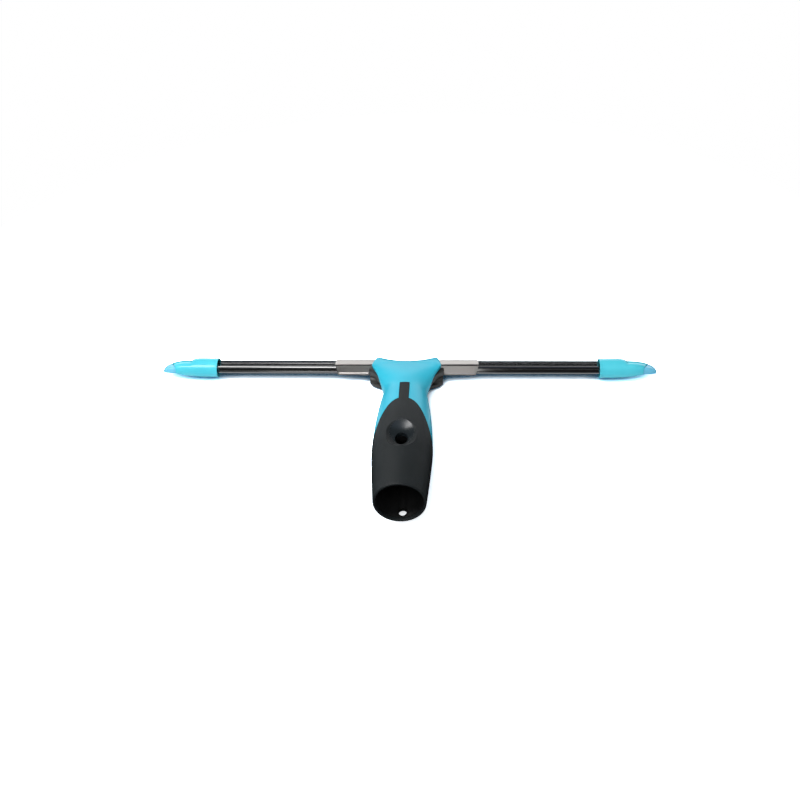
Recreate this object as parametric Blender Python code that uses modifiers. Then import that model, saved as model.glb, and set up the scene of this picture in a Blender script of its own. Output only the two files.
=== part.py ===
"""Window squeegee with a pole-socket handle, lying on its blade and on the belly of its handle.

Metres, +Z up, the blade edge and the handle's belly on z = 0, +X along the channel, +Y where the blade
points. Two empties carry the construction axes: handle_axis looks along the handle towards the blade,
and channel_axis along the blade's own direction.
"""
import math

import bmesh
import bpy
from mathutils import Vector

# Gap between neighbouring pieces
GAP = 0.0003

# Rubber blade: a strip with a bead along its back edge
RUBBER_OVERHANG = 0.0002
BLADE_THICKNESS = 0.0020
BLADE_REACH = 0.0085
BEAD_WIDTH = 0.0034
BEAD_LENGTH = 0.0035
BEAD_CHAMFER = 0.0006

# Channel: a black aluminium extrusion, open along its front, with a groove along its back
CHANNEL_LENGTH = 0.312
RUBBER_LENGTH = CHANNEL_LENGTH + 2 * RUBBER_OVERHANG
CHANNEL_WIDTH = 0.0058
CHANNEL_DEPTH = 0.0118
CHANNEL_WALL = 0.0008
CHANNEL_BACK_WALL = 0.0010
CHANNEL_CORNER = 0.0016
GROOVE_DEPTH = 0.0008
GROOVE_WIDTH = 0.0020

# Spring-steel bracket that grips the channel's back
BRACKET_LENGTH = 0.101
BRACKET_SKEW = 0.0018
STEEL_THICKNESS = 0.0006
BEND_RADIUS = 0.0012
FLANGE_DEPTH = 0.0078
LIP_DEPTH = 0.0030
TAB_LENGTH = 0.0060
TAB_PLACE = 0.0315
TAB_DEPTH = 0.0012
RIVET_PLACE = 0.0110
RIVET_HEAD_RADIUS = 0.0007
RIVET_HEAD_HEIGHT = 0.0004
RIVET_RADIUS = 0.0004
RIVET_LENGTH = 0.0040

# End tips: a tapering sleeve over the channel's end, with a nib in its mouth
TIP_ENGAGEMENT = 0.0180
TIP_LENGTH = 0.0338
TIP_RIDGE_LENGTH = 0.0196
TIP_RIDGE_HEIGHT = 0.0018
TIP_TOP_WALL = 0.0022
TIP_BOTTOM_WALL = 0.0026
TIP_BACK_WALL = 0.0020
TIP_FRONT_WALL = 0.0013
TIP_LEAN = 0.0030
TIP_BOTTOM_SLOPE = 0.10
NIB_ROOT_LENGTH = 0.0125
NIB_LENGTH = 0.0102
NIB_THICKNESS = 0.0040
NIB_DROP = 0.0010
NIB_BACK = 0.0004
NIB_DEPTH = 0.0120

# Handle: distances along it are measured from the channel's back towards the mouth
BLADE_ANGLE = math.radians(19.5)
HANDLE_LENGTH = 0.1326
WING_PLACE = 0.0010
WING_WIDTH = 0.0498
FLARE_WIDTH = 0.0418
THROAT_WIDTH = 0.0376
NECK_PLACE = 0.0280
NECK_WIDTH = 0.0308
SHOULDER_PLACE = 0.0490
SHOULDER_WIDTH = 0.0360
BELLY_PLACE = 0.0880
BELLY_WIDTH = 0.0398
BELLY_DROP = 0.0192
MOUTH_WIDTH = 0.0332

# Hard shell over the head, with wings over the channel
SHELL_THICKNESS = 0.0015
CORNER_WIDTH = 0.0440
FRONT_REACH = 0.0042
CORNER_REACH = 0.0091
FLANK_HEIGHT = -0.0017
FLANK_SEAM = 0.0006
UNDER_SHELL = 1.3 * SHELL_THICKNESS
UNDER_RIM = 0.8 * SHELL_THICKNESS
SHELL_TAIL = 0.0020

# Soft grip: a skin with a pointed arch and a tongue on top, and a lip round the mouth
GRIP_THICKNESS = 0.0022
GRIP_MOUTH_THICKNESS = 0.0008
GRIP_LIP = 0.0024
TONGUE_WIDTH = 0.0060
TONGUE_LENGTH = 0.0190
TONGUE_PLACE = 0.0310
ARCH_LENGTH = 0.0335

# Pole socket and its holes
SOCKET_MOUTH_RADIUS = 0.0151
SOCKET_FLOOR_RADIUS = 0.0120
SOCKET_DEPTH = 0.0700
RECESS_PLACE = 0.0886
RECESS_LENGTH = 0.0256
RECESS_WIDTH = 0.0188
RECESS_SIDE_DEPTH = 0.0029
RECESS_DEPTH = 0.0040
RECESS_BOSS_DEPTH = 0.0055
RECESS_BOSS_TOP = 0.0030
RECESS_BOSS_EDGE = 0.0012
RECESS_TILT = 0.0016
LOCK_HOLE_WIDTH = 0.0084
LOCK_HOLE_LENGTH = 0.0112
LOCK_HOLE_SHIFT = 0.0018
LOWER_HOLE_WIDTH = 0.0052
LOWER_HOLE_LENGTH = 0.0062
LOWER_HOLE_FROM_MOUTH = 0.0068
LOWER_HOLE_SIDE = 0.0014

# Jaw body under the shell, with the keel that the neck is fixed to
JAW_WIDTH = 0.0540
JAW_REACH = 0.0060
JAW_CORNER = 0.0015
JAW_UNDERSIDE = -0.0020
JAW_HEIGHT = 0.0140
JAW_END = 0.0275
KEEL_WIDTH = 0.0270
KEEL_START = 0.0105
TENON_WIDTH = 0.0160
TENON_START = 0.0140
TENON_BOTTOM = -0.0012
TENON_TOP = 0.0065

# Clamp lever: a bar across the head that presses the bracket's lip, and its tail
LEVER_WIDTH = 0.0524
PIN_PLACE = 0.0044
PIN_HEIGHT = -0.0056
PIN_RADIUS = 0.0015
PIN_LENGTH = 0.0400
LEVER_BAR_RADIUS = 0.0033
LEVER_PLATE_THICKNESS = 0.0026
LEVER_TAIL_WIDTH = 0.0160
LEVER_END = 0.0260
LUG_PLACE = 0.0130
LUG_THICKNESS = 0.0030
LUG_RADIUS = 0.0030
KEEL_UNDERSIDE = PIN_HEIGHT - LEVER_BAR_RADIUS + LEVER_PLATE_THICKNESS + 0.0004

# Screws that hold the keel to the neck's tenon
SCREW_PLACE = 0.0205
SCREW_SPACING = 0.0090
SCREW_RADIUS = 0.0010
SCREW_HEAD_RADIUS = 0.0019
SCREW_HEAD_HEIGHT = 0.0014
SCREW_LENGTH = 0.0080

# Colours, as linear values, with roughness and metallic
CYAN = ((0.075, 0.56, 0.74), 0.30, 0.0)
GREY_RUBBER = ((0.030, 0.038, 0.044), 0.65, 0.0)
BLACK_PLASTIC = ((0.012, 0.012, 0.013), 0.50, 0.0)
DARK_NYLON = ((0.035, 0.034, 0.033), 0.50, 0.0)
BLACK_ANODISED = ((0.010, 0.010, 0.011), 0.22, 0.7)
STEEL = ((0.60, 0.58, 0.55), 0.28, 1.0)
BLACK_RUBBER = ((0.012, 0.012, 0.012), 0.60, 0.0)

ROUND_STEPS = 40
SIDES = (("left", -1), ("right", 1))
QUARTER = math.pi / 2


def clear_scene():
    for old in list(bpy.data.objects):
        bpy.data.objects.remove(old, do_unlink=True)


def make_collection(name):
    collection = bpy.data.collections.new(name)
    bpy.context.scene.collection.children.link(collection)
    return collection


def smooth(stations, at):
    """Value of a smooth curve through (place, value) stations."""
    if at <= stations[0][0]:
        return stations[0][1]
    if at >= stations[-1][0]:
        return stations[-1][1]
    slopes = []
    for i in range(len(stations)):
        before = stations[max(i - 1, 0)]
        after = stations[min(i + 1, len(stations) - 1)]
        slopes.append((after[1] - before[1]) / (after[0] - before[0]))
    for i in range(len(stations) - 1):
        (x0, y0), (x1, y1) = stations[i], stations[i + 1]
        if at <= x1:
            break
    span = x1 - x0
    t = (at - x0) / span
    return (
        (2 * t**3 - 3 * t**2 + 1) * y0
        + (t**3 - 2 * t**2 + t) * span * slopes[i]
        + (3 * t**2 - 2 * t**3) * y1
        + (t**3 - t**2) * span * slopes[i + 1]
    )


def spread(start, end, count):
    return [start + (end - start) * i / (count - 1) for i in range(count)]


def paint(obj, look):
    colour, roughness, metallic = look
    material = bpy.data.materials.new(obj.name)
    material.use_nodes = True
    shader = material.node_tree.nodes["Principled BSDF"]
    shader.inputs["Base Color"].default_value = (*colour, 1.0)
    shader.inputs["Roughness"].default_value = roughness
    shader.inputs["Metallic"].default_value = metallic
    obj.data.materials.clear()
    obj.data.materials.append(material)


def new_object(name, mesh, parent, cutter=False):
    obj = bpy.data.objects.new(name, mesh)
    (CUTTERS if cutter else PARTS).objects.link(obj)
    obj.parent = parent
    if cutter:
        obj.hide_render = True
        obj.display_type = "WIRE"
    return obj


def loft(name, rings, parent, cutter=False, closed=False):
    """Skin over rings of points, capped at both ends, or joined into a tube when closed."""
    mesh = bmesh.new()
    rows = [[mesh.verts.new(point) for point in ring] for ring in rings]
    count = len(rings[0])
    pairs = list(zip(rows, rows[1:]))
    if closed:
        pairs.append((rows[-1], rows[0]))
    for low, high in pairs:
        for i in range(count):
            j = (i + 1) % count
            mesh.faces.new((low[i], low[j], high[j], high[i]))
    if not closed:
        mesh.faces.new(rows[0][::-1])
        mesh.faces.new(rows[-1])
    bmesh.ops.recalc_face_normals(mesh, faces=mesh.faces)
    data = bpy.data.meshes.new(name)
    mesh.to_mesh(data)
    mesh.free()
    return new_object(name, data, parent, cutter)


def sheet(name, rows, parent):
    """Open surface over rows of points."""
    mesh = bmesh.new()
    grid = [[mesh.verts.new(point) for point in row] for row in rows]
    for low, high in zip(grid, grid[1:]):
        for i in range(len(low) - 1):
            mesh.faces.new((low[i], high[i], high[i + 1], low[i + 1]))
    data = bpy.data.meshes.new(name)
    mesh.to_mesh(data)
    mesh.free()
    return new_object(name, data, parent)


def prism(name, outline, half_length, parent, along="X", cutter=False):
    """Flat outline extruded both ways along X of its parent, or along Z when seen from above."""
    curve = bpy.data.curves.new(name, "CURVE")
    curve.dimensions = "2D"
    curve.fill_mode = "BOTH"
    curve.extrude = half_length
    spline = curve.splines.new("POLY")
    spline.points.add(len(outline) - 1)
    for point, (u, v) in zip(spline.points, outline):
        point.co = (u, v, 0.0, 1.0)
    spline.use_cyclic_u = True
    guide = bpy.data.objects.new(name + "_outline", curve)
    CUTTERS.objects.link(guide)
    bpy.context.view_layer.update()
    mesh = bpy.data.meshes.new_from_object(guide.evaluated_get(bpy.context.evaluated_depsgraph_get()))
    bpy.data.objects.remove(guide, do_unlink=True)
    welded = bmesh.new()
    welded.from_mesh(mesh)
    bmesh.ops.remove_doubles(welded, verts=welded.verts, dist=0.00001)
    bmesh.ops.recalc_face_normals(welded, faces=welded.faces)
    welded.to_mesh(mesh)
    welded.free()
    mesh.name = name
    obj = new_object(name, mesh, parent, cutter)
    if along == "X":
        obj.rotation_euler = (QUARTER, 0, QUARTER)
    return obj


def block(name, low, high, parent, cutter=False):
    """Box between two corners of its parent's space."""
    mesh = bpy.data.meshes.new(name)
    cube = bmesh.new()
    bmesh.ops.create_cube(cube, size=1.0)
    for vert in cube.verts:
        vert.co = Vector([(a + b) / 2 + c * (b - a) for a, b, c in zip(low, high, vert.co)])
    cube.to_mesh(mesh)
    cube.free()
    return new_object(name, mesh, parent, cutter)


def cone(name, radii, length, centre, rotation, parent, cutter=False, sides=32):
    """Cylinder or cone about its own Z, centred on a point."""
    mesh = bpy.data.meshes.new(name)
    body = bmesh.new()
    bmesh.ops.create_cone(
        body, cap_ends=True, segments=sides, radius1=radii[0], radius2=radii[1], depth=length
    )
    body.to_mesh(mesh)
    body.free()
    obj = new_object(name, mesh, parent, cutter)
    obj.location = centre
    obj.rotation_euler = rotation
    return obj


def turned(name, profile, parent, centre, rotation):
    """Screw-turned piece: the profile runs down its outer side, from the axis to the axis."""
    mesh = bpy.data.meshes.new(name)
    edges = [(i, i + 1) for i in range(len(profile) - 1)]
    mesh.from_pydata([(radius, 0.0, height) for radius, height in profile], edges, [])
    obj = new_object(name, mesh, parent)
    obj.location = centre
    obj.rotation_euler = rotation
    screw = obj.modifiers.new("turn", "SCREW")
    screw.steps = 16
    screw.render_steps = 16
    screw.use_merge_vertices = True
    screw.merge_threshold = 0.00001
    return obj


def combine(target, tool, operation):
    boolean = target.modifiers.new(operation.lower() + "_" + tool.name, "BOOLEAN")
    boolean.operation = operation
    boolean.object = tool
    boolean.solver = "EXACT"


def cut(target, *tools):
    for tool in tools:
        combine(target, tool, "DIFFERENCE")


def join(target, *tools):
    for tool in tools:
        combine(target, tool, "UNION")


def shade_round(obj):
    obj.data.shade_smooth()
    obj.data.set_sharp_from_angle(angle=math.radians(35))


def between(start, end, share):
    return start + (end - start) * share


# Places between the named ones, from the head to the mouth
FLARE_PLACE = between(WING_PLACE, NECK_PLACE, 0.30)
THROAT_PLACE = between(WING_PLACE, NECK_PLACE, 0.55)
NAPE_PLACE = between(WING_PLACE, NECK_PLACE, 0.74)
ARCH_PLACE = TONGUE_PLACE + TONGUE_LENGTH
ARCH_END = ARCH_PLACE + ARCH_LENGTH
SHELL_END = ARCH_END + SHELL_TAIL
LOIN_PLACE = between(NECK_PLACE, SHOULDER_PLACE, 0.38)
CHEST_PLACE = between(SHOULDER_PLACE, BELLY_PLACE, 0.40)
WAIST_PLACE = between(BELLY_PLACE, HANDLE_LENGTH, 0.37)
CUFF_PLACE = between(BELLY_PLACE, HANDLE_LENGTH, 0.72)

# Handle sections: half width, height of the widest line, top and underside, along the handle.
# In front of the neck the sections widen into the head and rise over the channel.
HALF_WIDTHS = [
    (WING_PLACE, WING_WIDTH / 2),
    (FLARE_PLACE, FLARE_WIDTH / 2),
    (THROAT_PLACE, THROAT_WIDTH / 2),
    (NAPE_PLACE, between(THROAT_WIDTH, NECK_WIDTH, 0.50) / 2),
    (NECK_PLACE, NECK_WIDTH / 2),
    (LOIN_PLACE, between(NECK_WIDTH, SHOULDER_WIDTH, 0.40) / 2),
    (SHOULDER_PLACE, SHOULDER_WIDTH / 2),
    (CHEST_PLACE, between(SHOULDER_WIDTH, BELLY_WIDTH, 0.60) / 2),
    (BELLY_PLACE, BELLY_WIDTH / 2),
    (WAIST_PLACE, between(BELLY_WIDTH, MOUTH_WIDTH, 0.27) / 2),
    (CUFF_PLACE, between(BELLY_WIDTH, MOUTH_WIDTH, 0.66) / 2),
    (HANDLE_LENGTH, MOUTH_WIDTH / 2),
]
WIDE_LINES = [
    (WING_PLACE, 0.00575),
    (FLARE_PLACE, 0.0051),
    (THROAT_PLACE, 0.0034),
    (NAPE_PLACE, 0.0016),
    (NECK_PLACE, 0.0003),
    (LOIN_PLACE, 0.0),
    (HANDLE_LENGTH, 0.0),
]
TOPS = [
    (WING_PLACE, 0.0072),
    (FLARE_PLACE, 0.0096),
    (THROAT_PLACE, 0.0112),
    (NAPE_PLACE, 0.0121),
    (NECK_PLACE, 0.0130),
    (LOIN_PLACE, 0.0140),
    (SHOULDER_PLACE, 0.0157),
    (CHEST_PLACE, 0.0178),
    (BELLY_PLACE, BELLY_WIDTH / 2),
    (WAIST_PLACE, between(BELLY_WIDTH, MOUTH_WIDTH, 0.27) / 2),
    (CUFF_PLACE, between(BELLY_WIDTH, MOUTH_WIDTH, 0.66) / 2),
    (HANDLE_LENGTH, MOUTH_WIDTH / 2),
]
UNDERSIDES = [
    (JAW_END, 0.0108),
    (LOIN_PLACE, 0.0126),
    (SHOULDER_PLACE, 0.0149),
    (CHEST_PLACE, 0.0173),
    (BELLY_PLACE, BELLY_DROP),
    (WAIST_PLACE, between(BELLY_DROP, MOUTH_WIDTH / 2, 0.20)),
    (CUFF_PLACE, between(BELLY_DROP, MOUTH_WIDTH / 2, 0.62)),
    (HANDLE_LENGTH, MOUTH_WIDTH / 2),
]
# Lower edge of the hard shell: the widest line at the head, then down the flanks of the neck
RIMS = [
    (THROAT_PLACE, 0.0034),
    (NAPE_PLACE, 0.0012),
    (NECK_PLACE + 0.0010, FLANK_HEIGHT),
    (SHELL_END, FLANK_HEIGHT),
]


def section_point(place, angle, inset=0.0):
    """Point on the handle's skin, with the angle in radians from the top, towards +X."""
    half_width = smooth(HALF_WIDTHS, place) - inset
    wide_line = smooth(WIDE_LINES, place)
    if math.cos(angle) >= 0:
        rise = smooth(TOPS, place) - inset - wide_line
    else:
        rise = smooth(UNDERSIDES, place) - inset + wide_line
    return Vector((half_width * math.sin(angle), -place, wide_line + rise * math.cos(angle)))


def section_ring(place, inset=0.0):
    return [section_point(place, 2 * math.pi * i / ROUND_STEPS, inset) for i in range(ROUND_STEPS)]


def channel_to_handle(depth, height):
    """Point of the channel's section, as distance along the handle and height over its axis."""
    forward = depth * math.cos(BLADE_ANGLE) + height * math.sin(BLADE_ANGLE)
    up = -depth * math.sin(BLADE_ANGLE) + height * math.cos(BLADE_ANGLE)
    return -forward, up


def rest_pose():
    """Tilt of the handle and height of the channel's back when blade and belly touch the floor."""
    edge_place, edge_height = channel_to_handle(CHANNEL_DEPTH + BLADE_REACH, -BLADE_THICKNESS / 2)
    tilt = max(
        math.atan2(edge_height + smooth(UNDERSIDES, place), place - edge_place)
        for place in spread(SHOULDER_PLACE, HANDLE_LENGTH, 200)
    )
    height = -(edge_place * math.sin(tilt) + edge_height * math.cos(tilt))
    return tilt, height


def make_axes():
    """Empties on the channel's back centre, so that the part is centred on its box in Y."""
    tilt, height = rest_pose()
    butt = HANDLE_LENGTH * math.cos(tilt) + MOUTH_WIDTH / 2 * math.sin(tilt)
    edge_angle = tilt + BLADE_ANGLE
    reach = (CHANNEL_DEPTH + BLADE_REACH) * math.cos(edge_angle)
    reach += BLADE_THICKNESS / 2 * math.sin(edge_angle)
    handle = bpy.data.objects.new("handle_axis", None)
    handle.location = (0.0, (butt - reach) / 2, height)
    handle.rotation_euler = (-tilt, 0.0, 0.0)
    PARTS.objects.link(handle)
    channel = bpy.data.objects.new("channel_axis", None)
    channel.rotation_euler = (-BLADE_ANGLE, 0.0, 0.0)
    channel.parent = handle
    PARTS.objects.link(channel)
    return handle, channel


# Rubber blade


def make_rubber():
    back = CHANNEL_BACK_WALL + GROOVE_DEPTH + GAP
    neck = back + BEAD_LENGTH
    edge = CHANNEL_DEPTH + BLADE_REACH
    half = BLADE_THICKNESS / 2
    bead = BEAD_WIDTH / 2
    side = [(back, bead - BEAD_CHAMFER), (back + BEAD_CHAMFER, bead), (neck - BEAD_CHAMFER, bead)]
    side += [(neck, half), (edge, half)]
    outline = side + [(depth, -height) for depth, height in reversed(side)]
    rubber = prism("rubber_blade", outline, RUBBER_LENGTH / 2, CHANNEL_AXIS)
    paint(rubber, BLACK_RUBBER)


# Channel


def corner(depth, height, radius, start, steps=5):
    """Quarter turn about a centre in the channel's section, from a starting angle."""
    turns = spread(start, start + QUARTER, steps)
    return [(depth + radius * math.cos(turn), height + radius * math.sin(turn)) for turn in turns]


def make_channel():
    half = CHANNEL_WIDTH / 2
    inner = half - CHANNEL_WALL
    hollow = CHANNEL_BACK_WALL + GROOVE_DEPTH
    slot = BLADE_THICKNESS / 2 + GAP
    mouth = CHANNEL_DEPTH - CHANNEL_WALL
    groove = GROOVE_WIDTH / 2
    round_over = half - CHANNEL_CORNER
    outline = [(CHANNEL_DEPTH, -half), (CHANNEL_DEPTH, -slot), (mouth, -slot), (mouth, -inner)]
    outline += [(hollow, -inner), (hollow, inner), (mouth, inner), (mouth, slot)]
    outline += [(CHANNEL_DEPTH, slot), (CHANNEL_DEPTH, half)]
    outline += corner(CHANNEL_CORNER, round_over, CHANNEL_CORNER, QUARTER)
    outline += [(0.0, groove), (GROOVE_DEPTH, groove), (GROOVE_DEPTH, -groove), (0.0, -groove)]
    outline += corner(CHANNEL_CORNER, -round_over, CHANNEL_CORNER, 2 * QUARTER)
    channel = prism("channel", outline, CHANNEL_LENGTH / 2, CHANNEL_AXIS)
    paint(channel, BLACK_ANODISED)


# Steel bracket and its rivets


def make_bracket():
    half = CHANNEL_WIDTH / 2 + GAP
    outer = half + STEEL_THICKNESS
    web = -GAP - STEEL_THICKNESS
    bend = web + BEND_RADIUS
    middle = outer - BEND_RADIUS
    inner_radius = BEND_RADIUS - STEEL_THICKNESS
    outline = [(FLANGE_DEPTH, half), (FLANGE_DEPTH, outer)]
    outline += corner(bend, middle, BEND_RADIUS, QUARTER)
    outline += corner(bend, -middle, BEND_RADIUS, 2 * QUARTER)
    outline += [(LIP_DEPTH, -outer), (LIP_DEPTH, -half)]
    outline += corner(bend, -middle, inner_radius, 2 * QUARTER, 4)[::-1]
    outline += corner(bend, middle, inner_radius, QUARTER, 4)[::-1]
    bracket = prism("steel_bracket", outline, BRACKET_LENGTH / 2, CHANNEL_AXIS)
    low = (-TAB_PLACE - TAB_LENGTH / 2, LIP_DEPTH - STEEL_THICKNESS, -outer - TAB_DEPTH)
    high = (-TAB_PLACE + TAB_LENGTH / 2, LIP_DEPTH, -outer + STEEL_THICKNESS / 2)
    join(bracket, block("lip_tab", low, high, CHANNEL_AXIS, cutter=True))
    for side in (-1, 1):
        wedge = prism(
            "bracket_end",
            [
                (side * (BRACKET_LENGTH / 2 + CHANNEL_WIDTH), -outer * 2),
                (side * (BRACKET_LENGTH / 2 - BRACKET_SKEW), -outer * 2),
                (side * (BRACKET_LENGTH / 2 + BRACKET_SKEW), outer * 2),
                (side * (BRACKET_LENGTH / 2 + BRACKET_SKEW + CHANNEL_WIDTH), outer * 2),
            ],
            CHANNEL_DEPTH,
            CHANNEL_AXIS,
            along="Z",
            cutter=True,
        )
        wedge.rotation_euler = (QUARTER, 0, 0)
        cut(bracket, wedge)
        cut(bracket, rivet_tool(side, RIVET_RADIUS + GAP))
    paint(bracket, STEEL)


def rivet_tool(side, radius):
    """Hole for a rivet's shank, through the web and into the jaw body."""
    depth = RIVET_LENGTH + STEEL_THICKNESS + 4 * GAP
    centre = (side * RIVET_PLACE, -depth / 2, 0.0)
    return cone("rivet_hole", (radius, radius), depth, centre, (QUARTER, 0, 0), CHANNEL_AXIS, True, 16)


def make_rivets():
    for word, side in SIDES:
        profile = [
            (0.0, RIVET_HEAD_HEIGHT),
            (RIVET_HEAD_RADIUS * 0.6, RIVET_HEAD_HEIGHT),
            (RIVET_HEAD_RADIUS, RIVET_HEAD_HEIGHT * 0.4),
            (RIVET_HEAD_RADIUS, 0.0),
            (RIVET_RADIUS, 0.0),
            (RIVET_RADIUS, -RIVET_LENGTH),
            (0.0, -RIVET_LENGTH),
        ]
        centre = (side * RIVET_PLACE, 0.0, 0.0)
        rivet = turned("bracket_rivet_" + word, profile, CHANNEL_AXIS, centre, (-QUARTER, 0, 0))
        paint(rivet, STEEL)


# End tips


def tip_ring(along, top, bottom, back, front, lean=0.0):
    """Rounded section of a tip, across the channel at a distance along it."""
    points = []
    for i in range(24):
        angle = 2 * math.pi * i / 24
        u = math.copysign(abs(math.cos(angle)) ** 0.6, math.cos(angle))
        v = math.copysign(abs(math.sin(angle)) ** 0.6, math.sin(angle))
        depth = (front + back) / 2 + u * (front - back) / 2
        height = (top + bottom) / 2 + v * (top - bottom) / 2
        if v < 0:
            height += bottom * v * u * TIP_BOTTOM_SLOPE
        points.append((along + lean * u, depth, height))
    return points


def make_tip(name, side):
    start = CHANNEL_LENGTH / 2 - TIP_ENGAGEMENT
    end = start + TIP_LENGTH
    front = CHANNEL_DEPTH + GAP + TIP_FRONT_WALL
    back = -GAP - TIP_BACK_WALL
    top = CHANNEL_WIDTH / 2 + GAP + TIP_TOP_WALL
    bottom = -CHANNEL_WIDTH / 2 - GAP - TIP_BOTTOM_WALL
    low = top - TIP_RIDGE_HEIGHT
    step = start + TIP_RIDGE_LENGTH
    rings = [tip_ring(place, top, bottom, back, front) for place in (start, between(start, step, 0.6))]
    rings.append(tip_ring(step - 0.0002, top, bottom * 0.92, back * 0.95, front))
    taper = [
        (step + 0.0002, 1.0, 0.91, 0.93, 0.0004, 0.0),
        (between(step, end, 0.36), 0.95, 0.84, 0.86, 0.0008, 0.1),
        (between(step, end, 0.68), 0.86, 0.76, 0.74, 0.0014, 0.5),
        (end, 0.72, 0.68, 0.60, 0.0022, 1.0),
    ]
    for place, top_share, bottom_share, back_share, retreat, lean in taper:
        edges = (low * top_share, bottom * bottom_share, back * back_share, front - retreat)
        rings.append(tip_ring(place, *edges, TIP_LEAN * lean))
    rings = [[(side * x, y, z) for x, y, z in ring] for ring in rings]
    sleeve = loft(name, rings, CHANNEL_AXIS)
    cut(sleeve, *tip_tools(side, start, end, front))
    shade_round(sleeve)
    paint(sleeve, CYAN)


def spanned(name, near, far, side, depths, heights):
    """Box cutter on one side of the channel's middle, between two distances along it."""
    xs = sorted((side * near, side * far))
    low = (xs[0], depths[0], heights[0])
    high = (xs[1], depths[1], heights[1])
    return block(name, low, high, CHANNEL_AXIS, cutter=True)


def tip_tools(side, start, end, front):
    """Room for the channel's end, a slot for the rubber's edge, and room for the nib beyond them."""
    channel_half = CHANNEL_WIDTH / 2 + GAP
    blade_half = BLADE_THICKNESS / 2 + GAP
    nib_half = NIB_THICKNESS / 2 + GAP
    before = start - 0.002
    channel_end = CHANNEL_LENGTH / 2 + GAP
    rubber_end = RUBBER_LENGTH / 2 + GAP / 2
    beyond = front + BLADE_REACH
    depths = (-GAP, CHANNEL_DEPTH + GAP)
    heights = (-channel_half, channel_half)
    channel_room = spanned("channel_room", before - 0.001, channel_end, side, depths, heights)
    depths = (CHANNEL_DEPTH - GAP, beyond)
    heights = (-blade_half, blade_half)
    blade_room = spanned("blade_room", before, rubber_end, side, depths, heights)
    depths = (NIB_BACK - GAP, beyond + 0.001)
    heights = (-NIB_DROP - nib_half, -NIB_DROP + nib_half)
    nib_room = spanned("nib_room", rubber_end - GAP, end + 0.004, side, depths, heights)
    return [channel_room, blade_room, nib_room]


def make_nib(name, side):
    start = RUBBER_LENGTH / 2 + GAP
    root = start + NIB_ROOT_LENGTH
    end = root + NIB_LENGTH
    bottom = -NIB_DROP - NIB_THICKNESS / 2
    stations = ((start, 1.0, 1.0), (root, 1.0, 1.0), (between(root, end, 0.5), 0.86, 0.78), (end, 0.36, 0.30))
    rings = []
    for along, share, front in stations:
        top = bottom + NIB_THICKNESS * share
        back = NIB_BACK + (1 - share) * 0.0022
        ring = tip_ring(along, top, bottom, back, NIB_BACK + NIB_DEPTH * front)
        rings.append([(side * x, y, z) for x, y, z in ring])
    nib = loft(name, rings, CHANNEL_AXIS)
    shade_round(nib)
    paint(nib, CYAN)


# Hard shell


def shell_row(place, inset, columns):
    """Points across the shell at one distance along the handle, from rim to rim."""
    wide_line = smooth(WIDE_LINES, place)
    rim = min(smooth(RIMS, place), wide_line)
    drop = smooth(UNDERSIDES, place) + wide_line
    reach = QUARTER + math.asin(min((wide_line - rim) / drop, 1.0))
    return [section_point(place, angle, inset) for angle in spread(-reach, reach, columns)]


def front_row(share, inset, columns):
    """Points across the shell between the wing tips, share 0, and its hollow front edge, share 1."""
    back = shell_row(WING_PLACE, inset, columns)
    clearance = CHANNEL_WIDTH / 2 + 2 * GAP + STEEL_THICKNESS + SHELL_THICKNESS
    middle_place, middle_height = channel_to_handle(FRONT_REACH, clearance + 0.0001)
    corner_place, corner_height = channel_to_handle(CORNER_REACH, clearance + 0.0005)
    bulge = 0.0006 * math.sin(math.pi * share)
    points = []
    for point in back:
        across = point.x / (WING_WIDTH / 2 - inset)
        x = across * ((1 - share) * WING_WIDTH / 2 + share * CORNER_WIDTH / 2 - inset)
        hollow = across**2 - 0.3 * across**12
        place = middle_place + (corner_place - middle_place) * hollow
        height = middle_height + (corner_height - middle_height) * hollow - inset
        y = point.y * (1 - share) - place * share
        z = point.z * (1 - share) + height * share + bulge
        points.append(Vector((x, y, z)))
    return points


def shell_places():
    return spread(WING_PLACE, NECK_PLACE, 9)[1:] + spread(NECK_PLACE + 0.0030, SHELL_END, 14)


def shell_rows(inset=0.0, columns=25):
    rows = [front_row(share, inset, columns) for share in (1.0, 0.75, 0.5, 0.25, 0.0)]
    return rows + [shell_row(place, inset, columns) for place in shell_places()]


def arch_outline(grow):
    """Half widths and places of the grip's tongue and pointed arch, seen from above."""
    half_tongue = TONGUE_WIDTH / 2 + grow
    points = [(half_tongue, TONGUE_PLACE - grow), (half_tongue, ARCH_PLACE + 0.0001)]
    for share in spread(0.22, 1.0, 10):
        points.append((BELLY_WIDTH / 2 * share + grow, ARCH_PLACE + ARCH_LENGTH * share**2.5 - grow * 0.3))
    return points


def grip_window():
    """Cutter for the area of the handle that the shell covers, outside tongue and arch."""
    arch = arch_outline(0.0)
    wide = BELLY_WIDTH
    front = -JAW_END + 0.004
    right = [(width, -place) for width, place in reversed(arch)]
    left = [(-width, -place) for width, place in arch]
    outline = [(-wide, front), (wide, front), (wide, -ARCH_END)] + right + left + [(-wide, -ARCH_END)]
    tool = prism("grip_window", outline, BELLY_WIDTH / 2, HANDLE_AXIS, along="Z", cutter=True)
    tool.location = (0.0, 0.0, FLANK_HEIGHT - FLANK_SEAM + BELLY_WIDTH / 2)
    return tool


def shell_window():
    """Cutter for tongue and arch in the shell."""
    arch = arch_outline(GAP)
    right = [(width, -place) for width, place in reversed(arch)]
    left = [(-width, -place) for width, place in arch]
    wide = BELLY_WIDTH
    behind = -SHELL_END - 0.005
    outline = right + left + [(-wide, -ARCH_END + GAP), (-wide, behind)]
    outline += [(wide, behind), (wide, -ARCH_END + GAP)]
    return prism("shell_window", outline, BELLY_WIDTH, HANDLE_AXIS, along="Z", cutter=True)


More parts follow.
